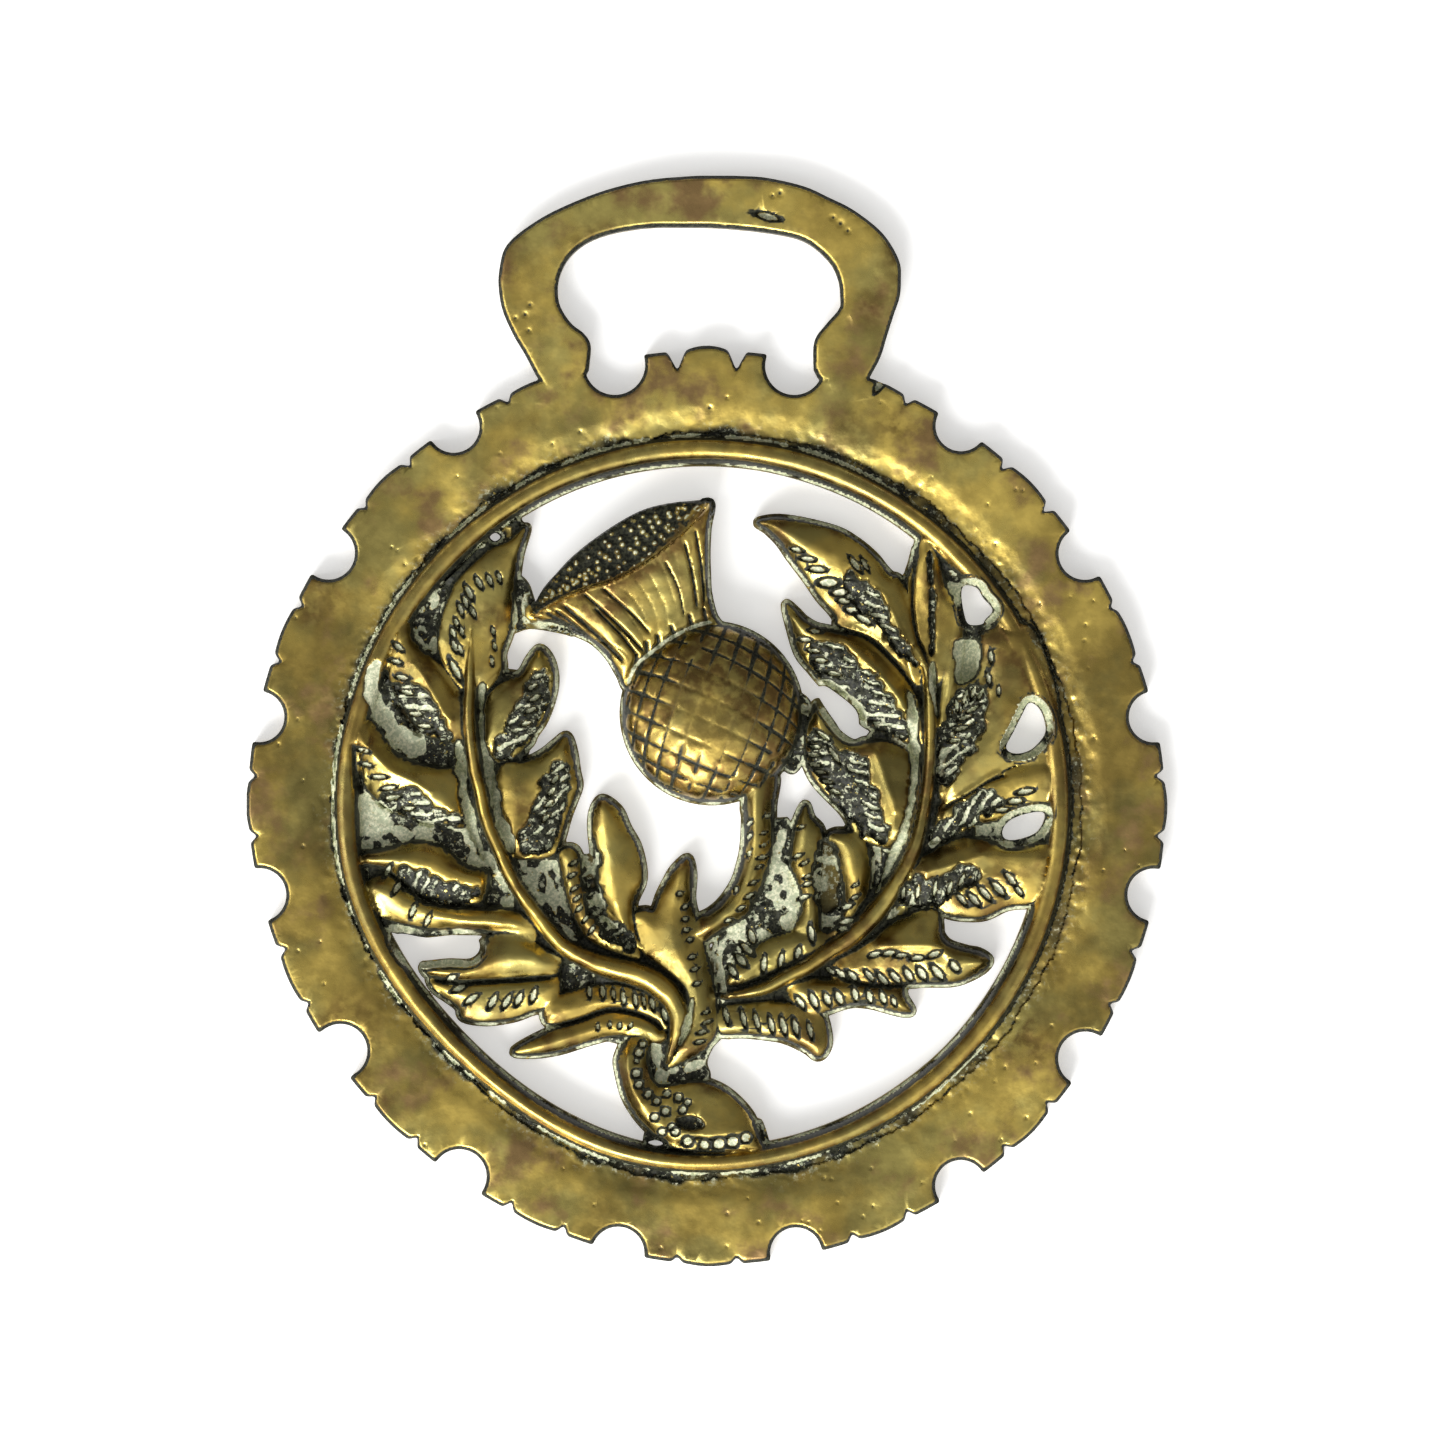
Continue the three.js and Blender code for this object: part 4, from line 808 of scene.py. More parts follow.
# Sunk ground in the sprays: outline, depth, floor and direction of the hatch
SUNK = [
    ([(-25.6, 9.6), (-24.2, 10), (-23, 8.6), (-21.8, 6.6), (-21, 5.5), (-23, 5.9),
      (-24.8, 7.8)], 0.7, "gravel", 175),
    ([(-26.3, 1.1), (-24, 1.2), (-22.4, -0.1), (-20.6, -1), (-22, -1.4), (-24.6, -0.8),
      (-26.6, 0.3)], 0.6, "gravel", 10),
    ([(-25, -5.2), (-22.5, -6), (-20, -6.6), (-19.2, -7.2), (-20, -7.9), (-22.5, -7.7),
      (-24.4, -6.7)], 0.7, "gravel", 70),
    ([(-17.4, 5), (-15.8, 7.2), (-14.9, 9), (-14, 11), (-13.3, 11), (-13.4, 9.2), (-14.2, 6.9),
      (-15.6, 5), (-17, 4.2)], 0.6, "gravel", 25),
    ([(-14.9, -2), (-13.6, 1), (-12.5, 3.2), (-11.7, 3.1), (-11.7, 1.4), (-12.3, -1), (-13, -3.2),
      (-14.9, -3.8)], 0.6, "gravel", 45),
    ([(-20.9, 5), (-20.1, 5.2), (-19.7, 2), (-19.1, -1), (-18.3, -3.6), (-18.6, -4.4), (-19.6, -2),
      (-20.4, 1)], 1.0, "pale", None),
    ([(-18.9, 9.4), (-18.3, 9.8), (-18.25, 6), (-17.6, 3.4), (-16.9, 0), (-15.8, -3), (-16.2, -3.9),
      (-17.2, -2), (-18.2, 1.6), (-18.8, 5)], 1.0, "pale", None),
    ([(12, 19), (13.4, 17.9), (14.4, 16.4), (15.1, 14.9), (17.2, 11.9), (16.7, 11.9), (15.2, 13.8),
      (13.8, 15.4), (12, 17), (11.4, 18.3)], 0.8, "gravel", -10),
    ([(16.6, 9.6), (17.2, 8), (17.5, 5), (17.4, 1.6), (16.8, -1.6), (15.9, -4), (14.2, -7),
      (13.9, -6.9), (15, -4.2), (15.9, -1.6), (16.6, 1), (16.7, 4), (16.5, 7)], 1.0, "pale", None),
    ([(10.6, 13), (12.5, 11.4), (14.2, 9.7), (15.4, 8), (16.4, 6), (16, 5.4), (14.8, 6.2),
      (13.4, 7), (11.9, 8.7), (10, 10.4), (9, 12), (8.8, 13.2)], 0.7, "gravel", -10),
    ([(9, 6.2), (10.6, 4.6), (12.4, 4), (13.4, 2), (14.4, -0.4), (14.6, -2.6), (13, -2.1),
      (12, -0.7), (10.4, 1.1), (9.1, 3), (8.7, 5)], 0.65, "gravel", -15),
    ([(9.6, -3), (10.3, -3.4), (10.5, -5.5), (10.5, -8), (9.9, -8.8), (9.2, -8), (9.1, -5.5),
      (9.2, -3.8)], 1.4, "gravel", 10),
    ([(19.2, 2.1), (19.1, 5.2), (20, 7), (20.2, 8.3), (21, 9.2), (22, 10), (22.8, 9.9), (23, 9),
      (22.6, 7), (22, 5.2), (21, 3.8), (20.2, 2.4)], 0.8, "gravel", 35),
    ([(20.4, 12.4), (20.6, 13.6), (22, 13.9), (22.4, 12.6), (22.2, 11), (21.4, 10.1),
      (20.5, 10.4)], 1.2, "pale", None),
    ([(18.9, -1.6), (20.6, -0.6), (22.6, 0.9), (24, 0.7), (23, -0.4), (21, -1.8), (19.4, -2.9),
      (18.4, -2.9)], 0.8, "gravel", 60),
    ([(16.4, -6.6), (18.4, -6), (20.6, -5.4), (22, -5.6), (20.6, -7), (18.6, -7.9),
      (16.2, -8)], 0.7, "gravel", 80),
    ([(-9.7, -3.6), (-9.2, -3.8), (-9, -7.4), (-8.1, -9.3), (-6.3, -11.1), (-6.6, -11.6),
      (-8.6, -10.2), (-9.8, -7.8)], 1.0, "gravel", 35),
    ([(-1.3, -15.8), (-1, -16.4), (-1.3, -18.2), (-2.5, -20.2), (-2.8, -20.4),
      (-2, -18.2)], 1.0, "pale", None),
    ([(-27.2, 12), (-26.8, 11.2), (-26.9, 9.4), (-25.8, 7.4), (-24.6, 5.2), (-23.3, 5.6),
      (-23.3, 4.4), (-24.2, 3.9), (-25.4, 4.6), (-27.4, 7.3), (-28.3, 9.2),
      (-28, 11)], 0.2, "pale", None),
    ([(18.1, 11.4), (18.8, 11.9), (19, 9), (19.1, 7.4), (18.7, 7.6),
      (18.2, 9.4)], 0.9, "pale", None),
    ([(18.3, 12.6), (18.7, 12.8), (18.8, 17), (18.5, 20.6), (18.2, 20.4),
      (18.3, 16)], 0.6, "gravel", None),
]
for outline, depth, fill, hatch in SUNK:
    sink(outline, depth, fill, hatch=hatch)

on_web = gravel * (height < LOW_GROUND) * smooth((PATCHY + 0.2 * RAGGED) / 0.3) * (R < 29)
pale = np.maximum(pale, 0.9 * on_web)

# Pale residue lying in the webs and valleys: x, y, half length, half width, angle
RESIDUE = [
    (-22.9, 18.5, 1.2, 0.5, 0), (-22.5, 17.1, 0.45, 0.9, 0), (-23.9, 16.3, 0.5, 0.4, 0),
    (-22.6, 13.2, 0.35, 0.8, 0), (-24.2, 17.6, 0.4, 0.3, 0), (-20.2, 21.2, 0.5, 0.3, 30),
    (-27.9, 8.7, 0.6, 0.6, 0), (-25.4, 5.5, 1.4, 0.9, -42), (-24.2, 4.8, 0.8, 0.9, 0),
    (-27.4, 11.6, 0.5, 0.4, 0), (-28.3, 0.3, 0.7, 1, 0), (-27, -1.2, 1.1, 0.4, -30),
    (-25.2, -2.2, 1, 0.6, -20), (-18.3, 22.7, 1, 0.35, 33), (-16.7, 23.4, 0.8, 0.4, 20),
    (-18.6, 21.7, 0.35, 0.6, 0), (-13.5, -17.5, 0.6, 0.5, 0), (-16.1, 15, 0.4, 2.4, 0),
    (-14.8, 16.8, 0.4, 1.2, 0), (-13.6, 15, 1.4, 0.4, 0), (-15.9, 11.5, 0.5, 0.9, 0),
    (-6.6, -19.3, 0.9, 0.35, 35), (-5, -18.9, 0.9, 0.35, 0), (-4.1, -20.4, 0.4, 1.6, 0),
    (-3.8, -22.2, 0.6, 0.7, -30), (-1, -21.4, 0.9, 0.4, 20), (6.7, -9.5, 0.7, 0.8, 0),
    (7, -7.6, 0.5, 0.8, 0), (5.7, -6.8, 0.35, 0.7, 0), (6, -2.8, 0.3, 1, 0),
    (21.2, 11.3, 0.8, 1.1, 0), (19.5, 3.4, 0.4, 1.6, 0), (20.4, 5.4, 0.4, 1, 20),
    (21.4, 7.2, 0.5, 1, 30), (18.5, -3.2, 0.9, 0.35, 25), (15.3, -8.9, 1.6, 0.3, 25),
    (12.4, -11.8, 1, 0.35, 35), (8.2, 7.4, 0.4, 0.9, 10), (7.9, 5.2, 0.4, 0.7, 0),
    (16.3, 4.6, 0.5, 1, 10), (15.6, 5.4, 0.6, 0.4, -30), (-16.7, -9.2, 1, 0.35, -45),
    (-14.9, -10.9, 0.9, 0.4, -30), (-13.4, -11.2, 0.9, 0.3, -40), (-20.3, 2.8, 0.5, 1.8, 8),
    (-19.6, -2.4, 0.5, 1.6, 15), (-17.2, -5.6, 0.4, 1.4, 28), (1.2, -15, 0.35, 1.6, 0),
    (0.9, -13, 0.3, 1, 0), (3, -11.2, 0.6, 0.3, -40), (20.6, 19.4, 0.5, 0.4, 0),
    (20, 20.6, 0.7, 0.3, -40), (13.6, -5.6, 0.25, 1.8, -8), (14, -3.6, 0.25, 1.2, 10),
    (-15.2, -4.6, 0.35, 1.2, 10), (-12.8, -7.4, 0.35, 1.6, 12), (-11.6, -10.2, 0.3, 1, 40),
]
for x0, y0, long, wide, angle in RESIDUE:
    w = window([(x0, y0)], max(long, wide) + 0.6)
    u, v = turned_axes(w, x0, y0, angle)
    far = np.hypot(u / long, v / wide)
    spot = smooth((1.15 - far + 0.35 * RAGGED[w]) / 0.3) * smooth((2.4 - height[w]) / 0.5)
    mark(pale, w, spot)
    gravel[w] *= 1 - spot

# Strokes cut into the lobes: x, y, angle, length, width
STROKES = [
    # Left spray, its tip
    (-17.1, 18.8, 110, 1, 0.35), (-17.9, 18.6, 115, 1.1, 0.4), (-18.8, 18.4, 120, 1.2, 0.45),
    (-19.6, 17.6, 118, 1.4, 0.5), (-19.8, 16.7, 120, 1.4, 0.45), (-19.3, 16, 115, 1.2, 0.4),
    (-20.3, 16.2, 112, 1.2, 0.4), (-20.6, 15, 110, 1.1, 0.4), (-20.9, 14.2, 108, 1.1, 0.4),
    (-20.2, 14.4, 110, 1, 0.35), (-20.8, 13.2, 112, 1.2, 0.45), (-20.3, 12.9, 110, 1, 0.35),
    (-20.7, 11.2, 118, 2, 0.55), (-17.6, 14.4, 105, 0.8, 0.3), (-17.5, 13.2, 105, 0.8, 0.3),
    (-17.7, 11.9, 100, 0.8, 0.3),
    # Left spray, outer lobes
    (-25.4, 13.1, 140, 1.1, 0.45), (-25.6, 11.9, 165, 1.1, 0.4), (-25.1, 10.6, 170, 1.2, 0.45),
    (-24.8, 9.4, 165, 1.4, 0.4), (-24, 7.6, 175, 1.3, 0.45), (-23.3, 6.6, 175, 1.3, 0.4),
    (-28.3, 4.6, 165, 1.2, 0.4), (-28, 3.4, 170, 1.1, 0.35), (-27, 2.4, 180, 1.4, 0.4),
    (-26.2, 1.5, 10, 1.3, 0.4), (-25.9, 0.7, 10, 1.5, 0.45), (-24.6, -0.2, 10, 1.2, 0.4),
    (-26.3, -5.3, 60, 1.2, 0.4), (-25.5, -6.7, 60, 1.3, 0.45), (-24.2, -8.6, 65, 1.3, 0.4),
    (-23, -9.4, 65, 1.3, 0.4),
    # Left spray, lobes along its foot
    (-21.1, -14.2, 30, 1.2, 0.5), (-20.4, -15, 25, 1.4, 0.5), (-19.4, -15.9, 35, 1.4, 0.5),
    (-17.65, -16.1, 60, 1.4, 0.5), (-16.5, -16.1, 60, 1.4, 0.5), (-15.5, -15.9, 65, 1.3, 0.5),
    (-14.3, -15.6, 70, 1.3, 0.5), (-9.7, -15.3, 95, 1.1, 0.4), (-8.6, -15.3, 97, 1.2, 0.45),
    (-7.7, -15.5, 97, 1.1, 0.3), (-6.9, -15.8, 97, 1.3, 0.4), (-5.9, -16, 100, 1.2, 0.4),
    (-5.2, -16.1, 102, 1.1, 0.3), (-4.5, -16.3, 105, 1.2, 0.4), (-3.5, -17.2, 108, 1.4, 0.45),
    (-9, -18.2, 90, 0.6, 0.3), (-8, -18, 90, 0.6, 0.25), (-7.2, -18.1, 80, 0.6, 0.35),
    (-6.3, -18.1, 60, 0.6, 0.3),
    # Left spray, inner lobes
    (-14.4, 9.8, 30, 1.1, 0.4), (-14.2, 8.9, 30, 1.2, 0.45), (-14.5, 7.9, 25, 1.1, 0.4),
    (-14.9, 6.8, 20, 1, 0.4), (-12.5, 2.2, 50, 1, 0.4), (-12.8, 1.2, 50, 1, 0.4),
    (-13, 0.2, 45, 1, 0.4), (-13.3, -1, 45, 1, 0.35), (-11, -4.7, 30, 0.8, 0.3),
    (-11.1, -5.7, 30, 0.8, 0.3), (-10.9, -6.8, 35, 0.8, 0.3), (-10.7, -7.6, 40, 0.8, 0.3),
    (-10.5, -8.4, 45, 0.9, 0.3), (-10, -9.3, 50, 0.9, 0.3), (-9.5, -10.2, 55, 0.9, 0.3),
    # Left spray, the lobe beside the stem
    (-2.2, -7.2, 20, 0.6, 0.4), (-1.8, -8.3, 20, 0.6, 0.4), (-1.8, -9.3, 20, 0.6, 0.4),
    (-1.7, -10.2, 20, 0.6, 0.4), (-1.4, -11, 20, 0.6, 0.4), (-1.2, -12.4, 20, 0.7, 0.4),
    (-1, -13.4, 20, 0.7, 0.35), (-0.8, -14.6, 20, 0.7, 0.35), (-0.1, -17, 20, 0.7, 0.3),
    (0, -17.8, 20, 0.9, 0.3), (-0.4, -18.6, 15, 0.9, 0.35), (-0.6, -19.4, 10, 0.9, 0.35),
    # Right spray, inner lobes
    (7.4, 21.1, -15, 1.1, 0.4), (8.3, 20.35, -8, 1.3, 0.45), (9.1, 19.5, -5, 1.5, 0.5),
    (10, 18.4, 0, 1.7, 0.75), (11, 17.6, 5, 1.5, 0.6), (11.3, 16.9, -5, 1.2, 0.45),
    (12, 16.1, -15, 1.3, 0.6), (12.9, 15.4, -30, 1.6, 0.5), (12.2, 19.9, -52, 1.6, 0.45),
    (13, 19.9, -60, 1.3, 0.35), (8.1, 13.7, -5, 1.1, 0.4), (8.8, 12.8, -8, 1.2, 0.4),
    (9.4, 12, -5, 1.2, 0.45), (10.5, 10.9, -10, 1.4, 0.4), (8.9, 14.4, -10, 1.1, 0.4),
    (8.9, 4.9, -10, 1.1, 0.35), (8.8, 4.2, -5, 1.2, 0.4), (8.9, 3.4, -10, 1.2, 0.35),
    (9.4, 2.8, -12, 1.2, 0.35), (9.9, 2, -15, 1.2, 0.35), (10.5, 1.2, -20, 1.2, 0.35),
    (9.6, 5.8, -35, 1.6, 0.4), (10.5, 4.2, -55, 1.8, 0.4),
    # Right spray, lobes beside the stem
    (7.5, -4.1, 25, 0.9, 0.3), (8, -4.7, 25, 0.8, 0.3), (8.3, -5.8, 25, 0.8, 0.3),
    (8.3, -6.4, 20, 0.9, 0.35), (8, -7.5, 20, 1, 0.35), (7.8, -1.7, 25, 0.7, 0.25),
    (12.2, -6.5, 30, 0.7, 0.25), (12.2, -7.5, 30, 0.9, 0.3), (11.5, -8.3, 25, 1.2, 0.4),
    (11.5, -9.5, 15, 1.5, 0.45), (11.2, -10.1, 10, 0.9, 0.4), (8.6, -10.5, 100, 1.5, 0.5),
    (7.5, -12.1, 75, 1.2, 0.5), (6.1, -12.7, 80, 1.4, 0.4), (4.7, -13, 85, 1.5, 0.45),
    (3.7, -10.8, 110, 1.4, 0.6), (3.3, -11.8, 140, 1.4, 0.55), (2.8, -12.7, 135, 1.4, 0.6),
    (2.1, -13.6, 125, 1.2, 0.55),
    # Right spray, outer lobes
    (23.4, 12.3, 95, 1.2, 0.4), (23.2, 10.5, 105, 1.2, 0.4), (24, 9.5, 90, 0.9, 0.3),
    (26.2, 1.2, 10, 1.5, 0.5), (25.4, 0.4, 5, 1.4, 0.5), (24.3, -0.3, 5, 1.3, 0.4),
    (21, -7.7, -50, 1.3, 0.45), (22, -7.7, -48, 1.5, 0.5), (22.9, -7.2, -48, 1.6, 0.5),
    (24, -6.8, -48, 1.7, 0.55), (25, -6, -50, 1.5, 0.5), (25.7, -7, -50, 1, 0.4),
    (16.2, -7.2, 80, 1.4, 0.35), (17.4, -7, 82, 1.5, 0.35), (18.8, -6.8, 80, 1.6, 0.35),
    (20, -6.8, 75, 1.5, 0.35), (21, -6.1, 65, 1.4, 0.35),
    # Right spray, lobes along its foot
    (13.8, -12.2, 20, 1.1, 0.45), (15, -12.1, 10, 1.2, 0.45), (16, -12.3, 5, 1.1, 0.4),
    (17.3, -12.5, 5, 1.2, 0.45), (18.7, -12.2, 25, 1.2, 0.5), (13.4, -14, -50, 1.3, 0.45),
    (14.5, -14.3, -50, 1.5, 0.5), (15.5, -14.1, -50, 1.4, 0.5), (16.6, -13.9, -58, 1.3, 0.55),
    (17.7, -13.8, -55, 1.3, 0.6), (19, -13.7, -50, 1.6, 0.6), (20.4, -13.2, -55, 1.1, 0.6),
    (12, -14, -45, 1.3, 0.45), (11, -13.8, -40, 1.2, 0.45), (10.2, -13.6, -35, 1.1, 0.4),
    (8.8, -16, -65, 1.5, 0.55), (9.9, -15.9, -65, 1.2, 0.55), (10.9, -15.8, -65, 1.3, 0.6),
    (12.2, -15.5, -75, 1.3, 0.5), (13.4, -15.7, -72, 1.2, 0.5), (14.5, -15.8, -70, 1.1, 0.5),
    (15.4, -16.1, -70, 0.9, 0.4), (7.7, -16.2, -55, 1.3, 0.5), (1.6, -17.3, 105, 1.5, 0.4),
    (3, -17.5, 105, 1.6, 0.4), (4.1, -17.7, 105, 1.6, 0.4), (5.3, -18, 105, 1.5, 0.45),
    (6.3, -18.1, 105, 1.6, 0.5), (7.3, -18.2, 105, 1.6, 0.5), (8.5, -18.5, 105, 1.5, 0.4),
    # Stem
    (4.7, -2.2, 20, 0.7, 0.25), (4.7, -3.2, 20, 0.7, 0.25), (4.6, -4.2, 12, 1, 0.3),
    (4.3, -5, 20, 0.7, 0.25), (3.8, -6.3, 25, 0.8, 0.3), (3.5, -7.4, 25, 1, 0.35),
    (3.5, -1.4, 45, 0.7, 0.35), (3.5, -2.5, 60, 0.7, 0.35), (3.5, -3.9, 60, 0.7, 0.3),
    (2.4, -6.9, 70, 0.6, 0.35), (2.8, -8.4, 30, 0.7, 0.35), (1.8, -9.4, 20, 0.7, 0.35),
    (5, -0.8, 10, 0.7, 0.3),
    # Right spray, the sunk middle of its outer lobe
    (20.6, 8.3, 100, 1.3, 0.32), (21.3, 9, 75, 1.5, 0.32), (22, 9.4, 70, 1.5, 0.32),
    (22.6, 9.3, 60, 1.3, 0.32), (21.3, 7.3, 20, 1.5, 0.32), (21.9, 8, 30, 1.5, 0.32),
    (21, 6.4, 15, 1.4, 0.32), (20.4, 5.4, 10, 1.2, 0.32),
]
for x0, y0, angle, length, width in STROKES:
    stroke(x0, y0, angle, length, width)

# Ring-shaped punch marks and the row of cups on the heel: x, y, size
PUNCHES = [
    (-5.3, -19.6, 0.3), (-5.6, -20.3, 0.36), (-5.8, -21, 0.2), (-5.8, -22, 0.38),
    (-5.6, -22.9, 0.34), (-4.85, -23.7, 0.34), (-4.15, -24.3, 0.32), (-3.3, -23.7, 0.3),
    (-2.35, -24, 0.34), (-1.6, -24.4, 0.28), (-3.4, -25.1, 0.36), (-4.3, -25.6, 0.34),
    (-2, -25, 0.32), (-2.9, -26.4, 0.3), (-3.7, -26.8, 0.32), (-2.6, -26.8, 0.34),
    (-1.6, -27.6, 0.42), (-0.2, -27.9, 0.42), (1, -27.8, 0.5), (2.1, -27.6, 0.5),
    (3.2, -27.3, 0.42),
]
for x0, y0, size in PUNCHES:
    stroke(x0, y0, 30, size * 2.1, size * 1.9, 0.35)
HEEL_PATCH = [
    (-2.8, -25.9), (-2.4, -25.4), (-1.5, -25.5), (-0.6, -25.8), (-0.2, -26.2), (-0.7, -26.6),
    (-1.6, -26.7), (-2.5, -26.5),
]
sink(HEEL_PATCH, 0.7, "gravel", 0.3)

# Fine grooves: line, width, depth
CREASES = [
    ([(-12.9, -18.3), (-10.3, -17.6), (-8.8, -17), (-7.5, -16.8), (-5.6, -17.2), (-4.3, -17.8),
      (-3.6, -18.6)], 0.3, 0.5),
    ([(-22.8, -14.3), (-20.4, -14.6), (-18.4, -14.5), (-15, -14.3), (-12.6, -14.1)], 0.3, 0.5),
    ([(-28.5, -4.9), (-26.2, -5.5), (-24.5, -7), (-22.5, -8), (-20, -8.3), (-17, -8.4)], 0.25, 0.4),
    ([(-29.1, 5.2), (-29, 3), (-28.8, 1.4)], 0.4, 0.5),
    ([(-1.9, -15.2), (-2.7, -14.3), (-4.1, -13.2), (-5.2, -12.4)], 0.25, 0.4),
    ([(19.4, -0.2), (21.4, 0.9), (23.2, 2), (24.6, 2.6)], 0.22, 0.35),
    ([(10.6, -14.1), (13, -14.7), (15.6, -14.8), (16.6, -14.7)], 0.22, 0.35),
    ([(-2.4, -27.9), (-1, -27.3), (0.5, -27.4), (3, -27)], 0.22, 0.3),
    ([(18.3, 11.4), (17.2, 14.4), (16.9, 18), (17.3, 21)], 0.22, 0.35),
    ([(-10.3, 17.6), (-7.4, 15), (-5.1, 12.6)], 0.22, 0.3),
    ([(-11.9, 16.6), (-9, 14), (-6.8, 11.8)], 0.3, 0.35),
    ([(-13.4, 16), (-10.4, 14.3), (-7.9, 12.3)], 0.3, 0.35),
    ([(-8.7, 18), (-6.3, 15.9), (-4.7, 14.2)], 0.18, 0.25),
    ([(-9.4, 16.4), (-7.2, 14.2), (-5.8, 12.4)], 0.22, 0.3),
    ([(-12.6, 16.2), (-10, 14.2), (-8, 12.4)], 0.22, 0.3),
    ([(-3.5, 20.2), (-2.4, 18), (-1.9, 15.6)], 0.15, 0.2),
    ([(-1.9, 21.8), (-1.2, 19), (-0.8, 16.2)], 0.22, 0.3),
    ([(-1, 22.8), (-0.5, 20), (-0.2, 16.6)], 0.22, 0.3), ([(-5.9, 11.4), (-5.8, 12.6)], 0.3, 0.3),
    ([(-4.9, 12.3), (-5, 13.6)], 0.3, 0.3), ([(-3.9, 13), (-4.1, 14.2)], 0.3, 0.3),
    ([(-2.6, 13.7), (-3, 14.9)], 0.3, 0.3), ([(-1.2, 14.5), (-1.5, 15.8)], 0.3, 0.3),
    ([(0, 15), (-0.3, 16.4)], 0.3, 0.3),
]
for line, width, depth in CREASES:
    crease(line, width, depth)

# Fine raised lines
CRESTS = [
    [(-24.3, 12), (-23.4, 10.9), (-22.3, 9), (-21.5, 7.5), (-20.8, 6.9)],
    [(-22.5, 1), (-24, 2), (-26, 3), (-28.2, 5.3)],
    [(15.2, 14), (16.3, 12.3), (17, 10.5), (17.4, 8.5)],
    [(16.9, 6.8), (16.3, 8), (15.4, 9.5), (14, 11.1), (12.3, 12.7), (10.8, 14.3)],
    [(13.8, 4.8), (14.5, 2.8), (15.2, 0.8), (15.6, -0.7)],
    [(20.2, 0.3), (22, 1.3), (23.2, 2.2), (24.3, 2.8)],
    [(17.7, -5.5), (19.5, -5), (21.5, -4.4), (23, -3.8)],
    [(14, -11.5), (16, -11.4), (19, -11.5), (19.8, -12.2), (21, -13)],
    [(-6.4, -20.2), (-6.5, -21.2), (-6.2, -22.9), (-5.8, -23.7), (-5.2, -24.8)],
]
for line in CRESTS:
    crest_line(line)

# Casting skin
height += gravel * (0.1 * noise(0.55, 41) + 0.06 * noise(0.3, 42))
worn = height > 1.9
height += worn * (0.02 * noise(2.2, 43) + 0.012 * noise(0.9, 44))
height += worn * (R < 28.3) * (0.06 * noise(1.5, 45) + 0.04 * noise(0.7, 46))

# Pits scattered over the rim, then those that show on the photo's loop: x, y, size
RIM_PITS = 70
rng = np.random.default_rng(77)
for _ in range(RIM_PITS):
    turn = rng.uniform(0, 2 * math.pi)
    far = rng.uniform(31.9, 37.6)
    pit(far * math.cos(turn), far * math.sin(turn), rng.uniform(0.09, 0.16), 0.14, 0.8)
LOOP_PITS = [
    (11, 48, 0.3), (6, 50.5, 0.3), (-14.6, 41.3, 0.22), (-15, 40.5, 0.25), (-15.8, 40.2, 0.2),
    (-14.7, 39.2, 0.2), (0.2, 32.8, 0.25), (11.6, 47.4, 0.25), (10.4, 48.5, 0.25), (5.4, 50.3, 0.2),
]
for x0, y0, size in LOOP_PITS:
    pit(x0, y0, size, 0.15, 1.4)
stroke(5, 48.6, -15, 2, 0.6, 0.5)
stroke(14.2, 34.7, 60, 1.4, 0.6, 0.8)
height = np.clip(height, 0.7, TOP_Z - 0.01)

slope = np.hypot(*np.gradient(height, STEP))
# Painted shade: hollow darkens places lying below the blurred heights round them, wall darkens steep
# low walls
hollow = np.clip((blur(height, 0.9) - height - 0.05) / 0.35, 0, 1)
wall = smooth(slope - 1.1) * smooth((3.4 - height) / 0.5)


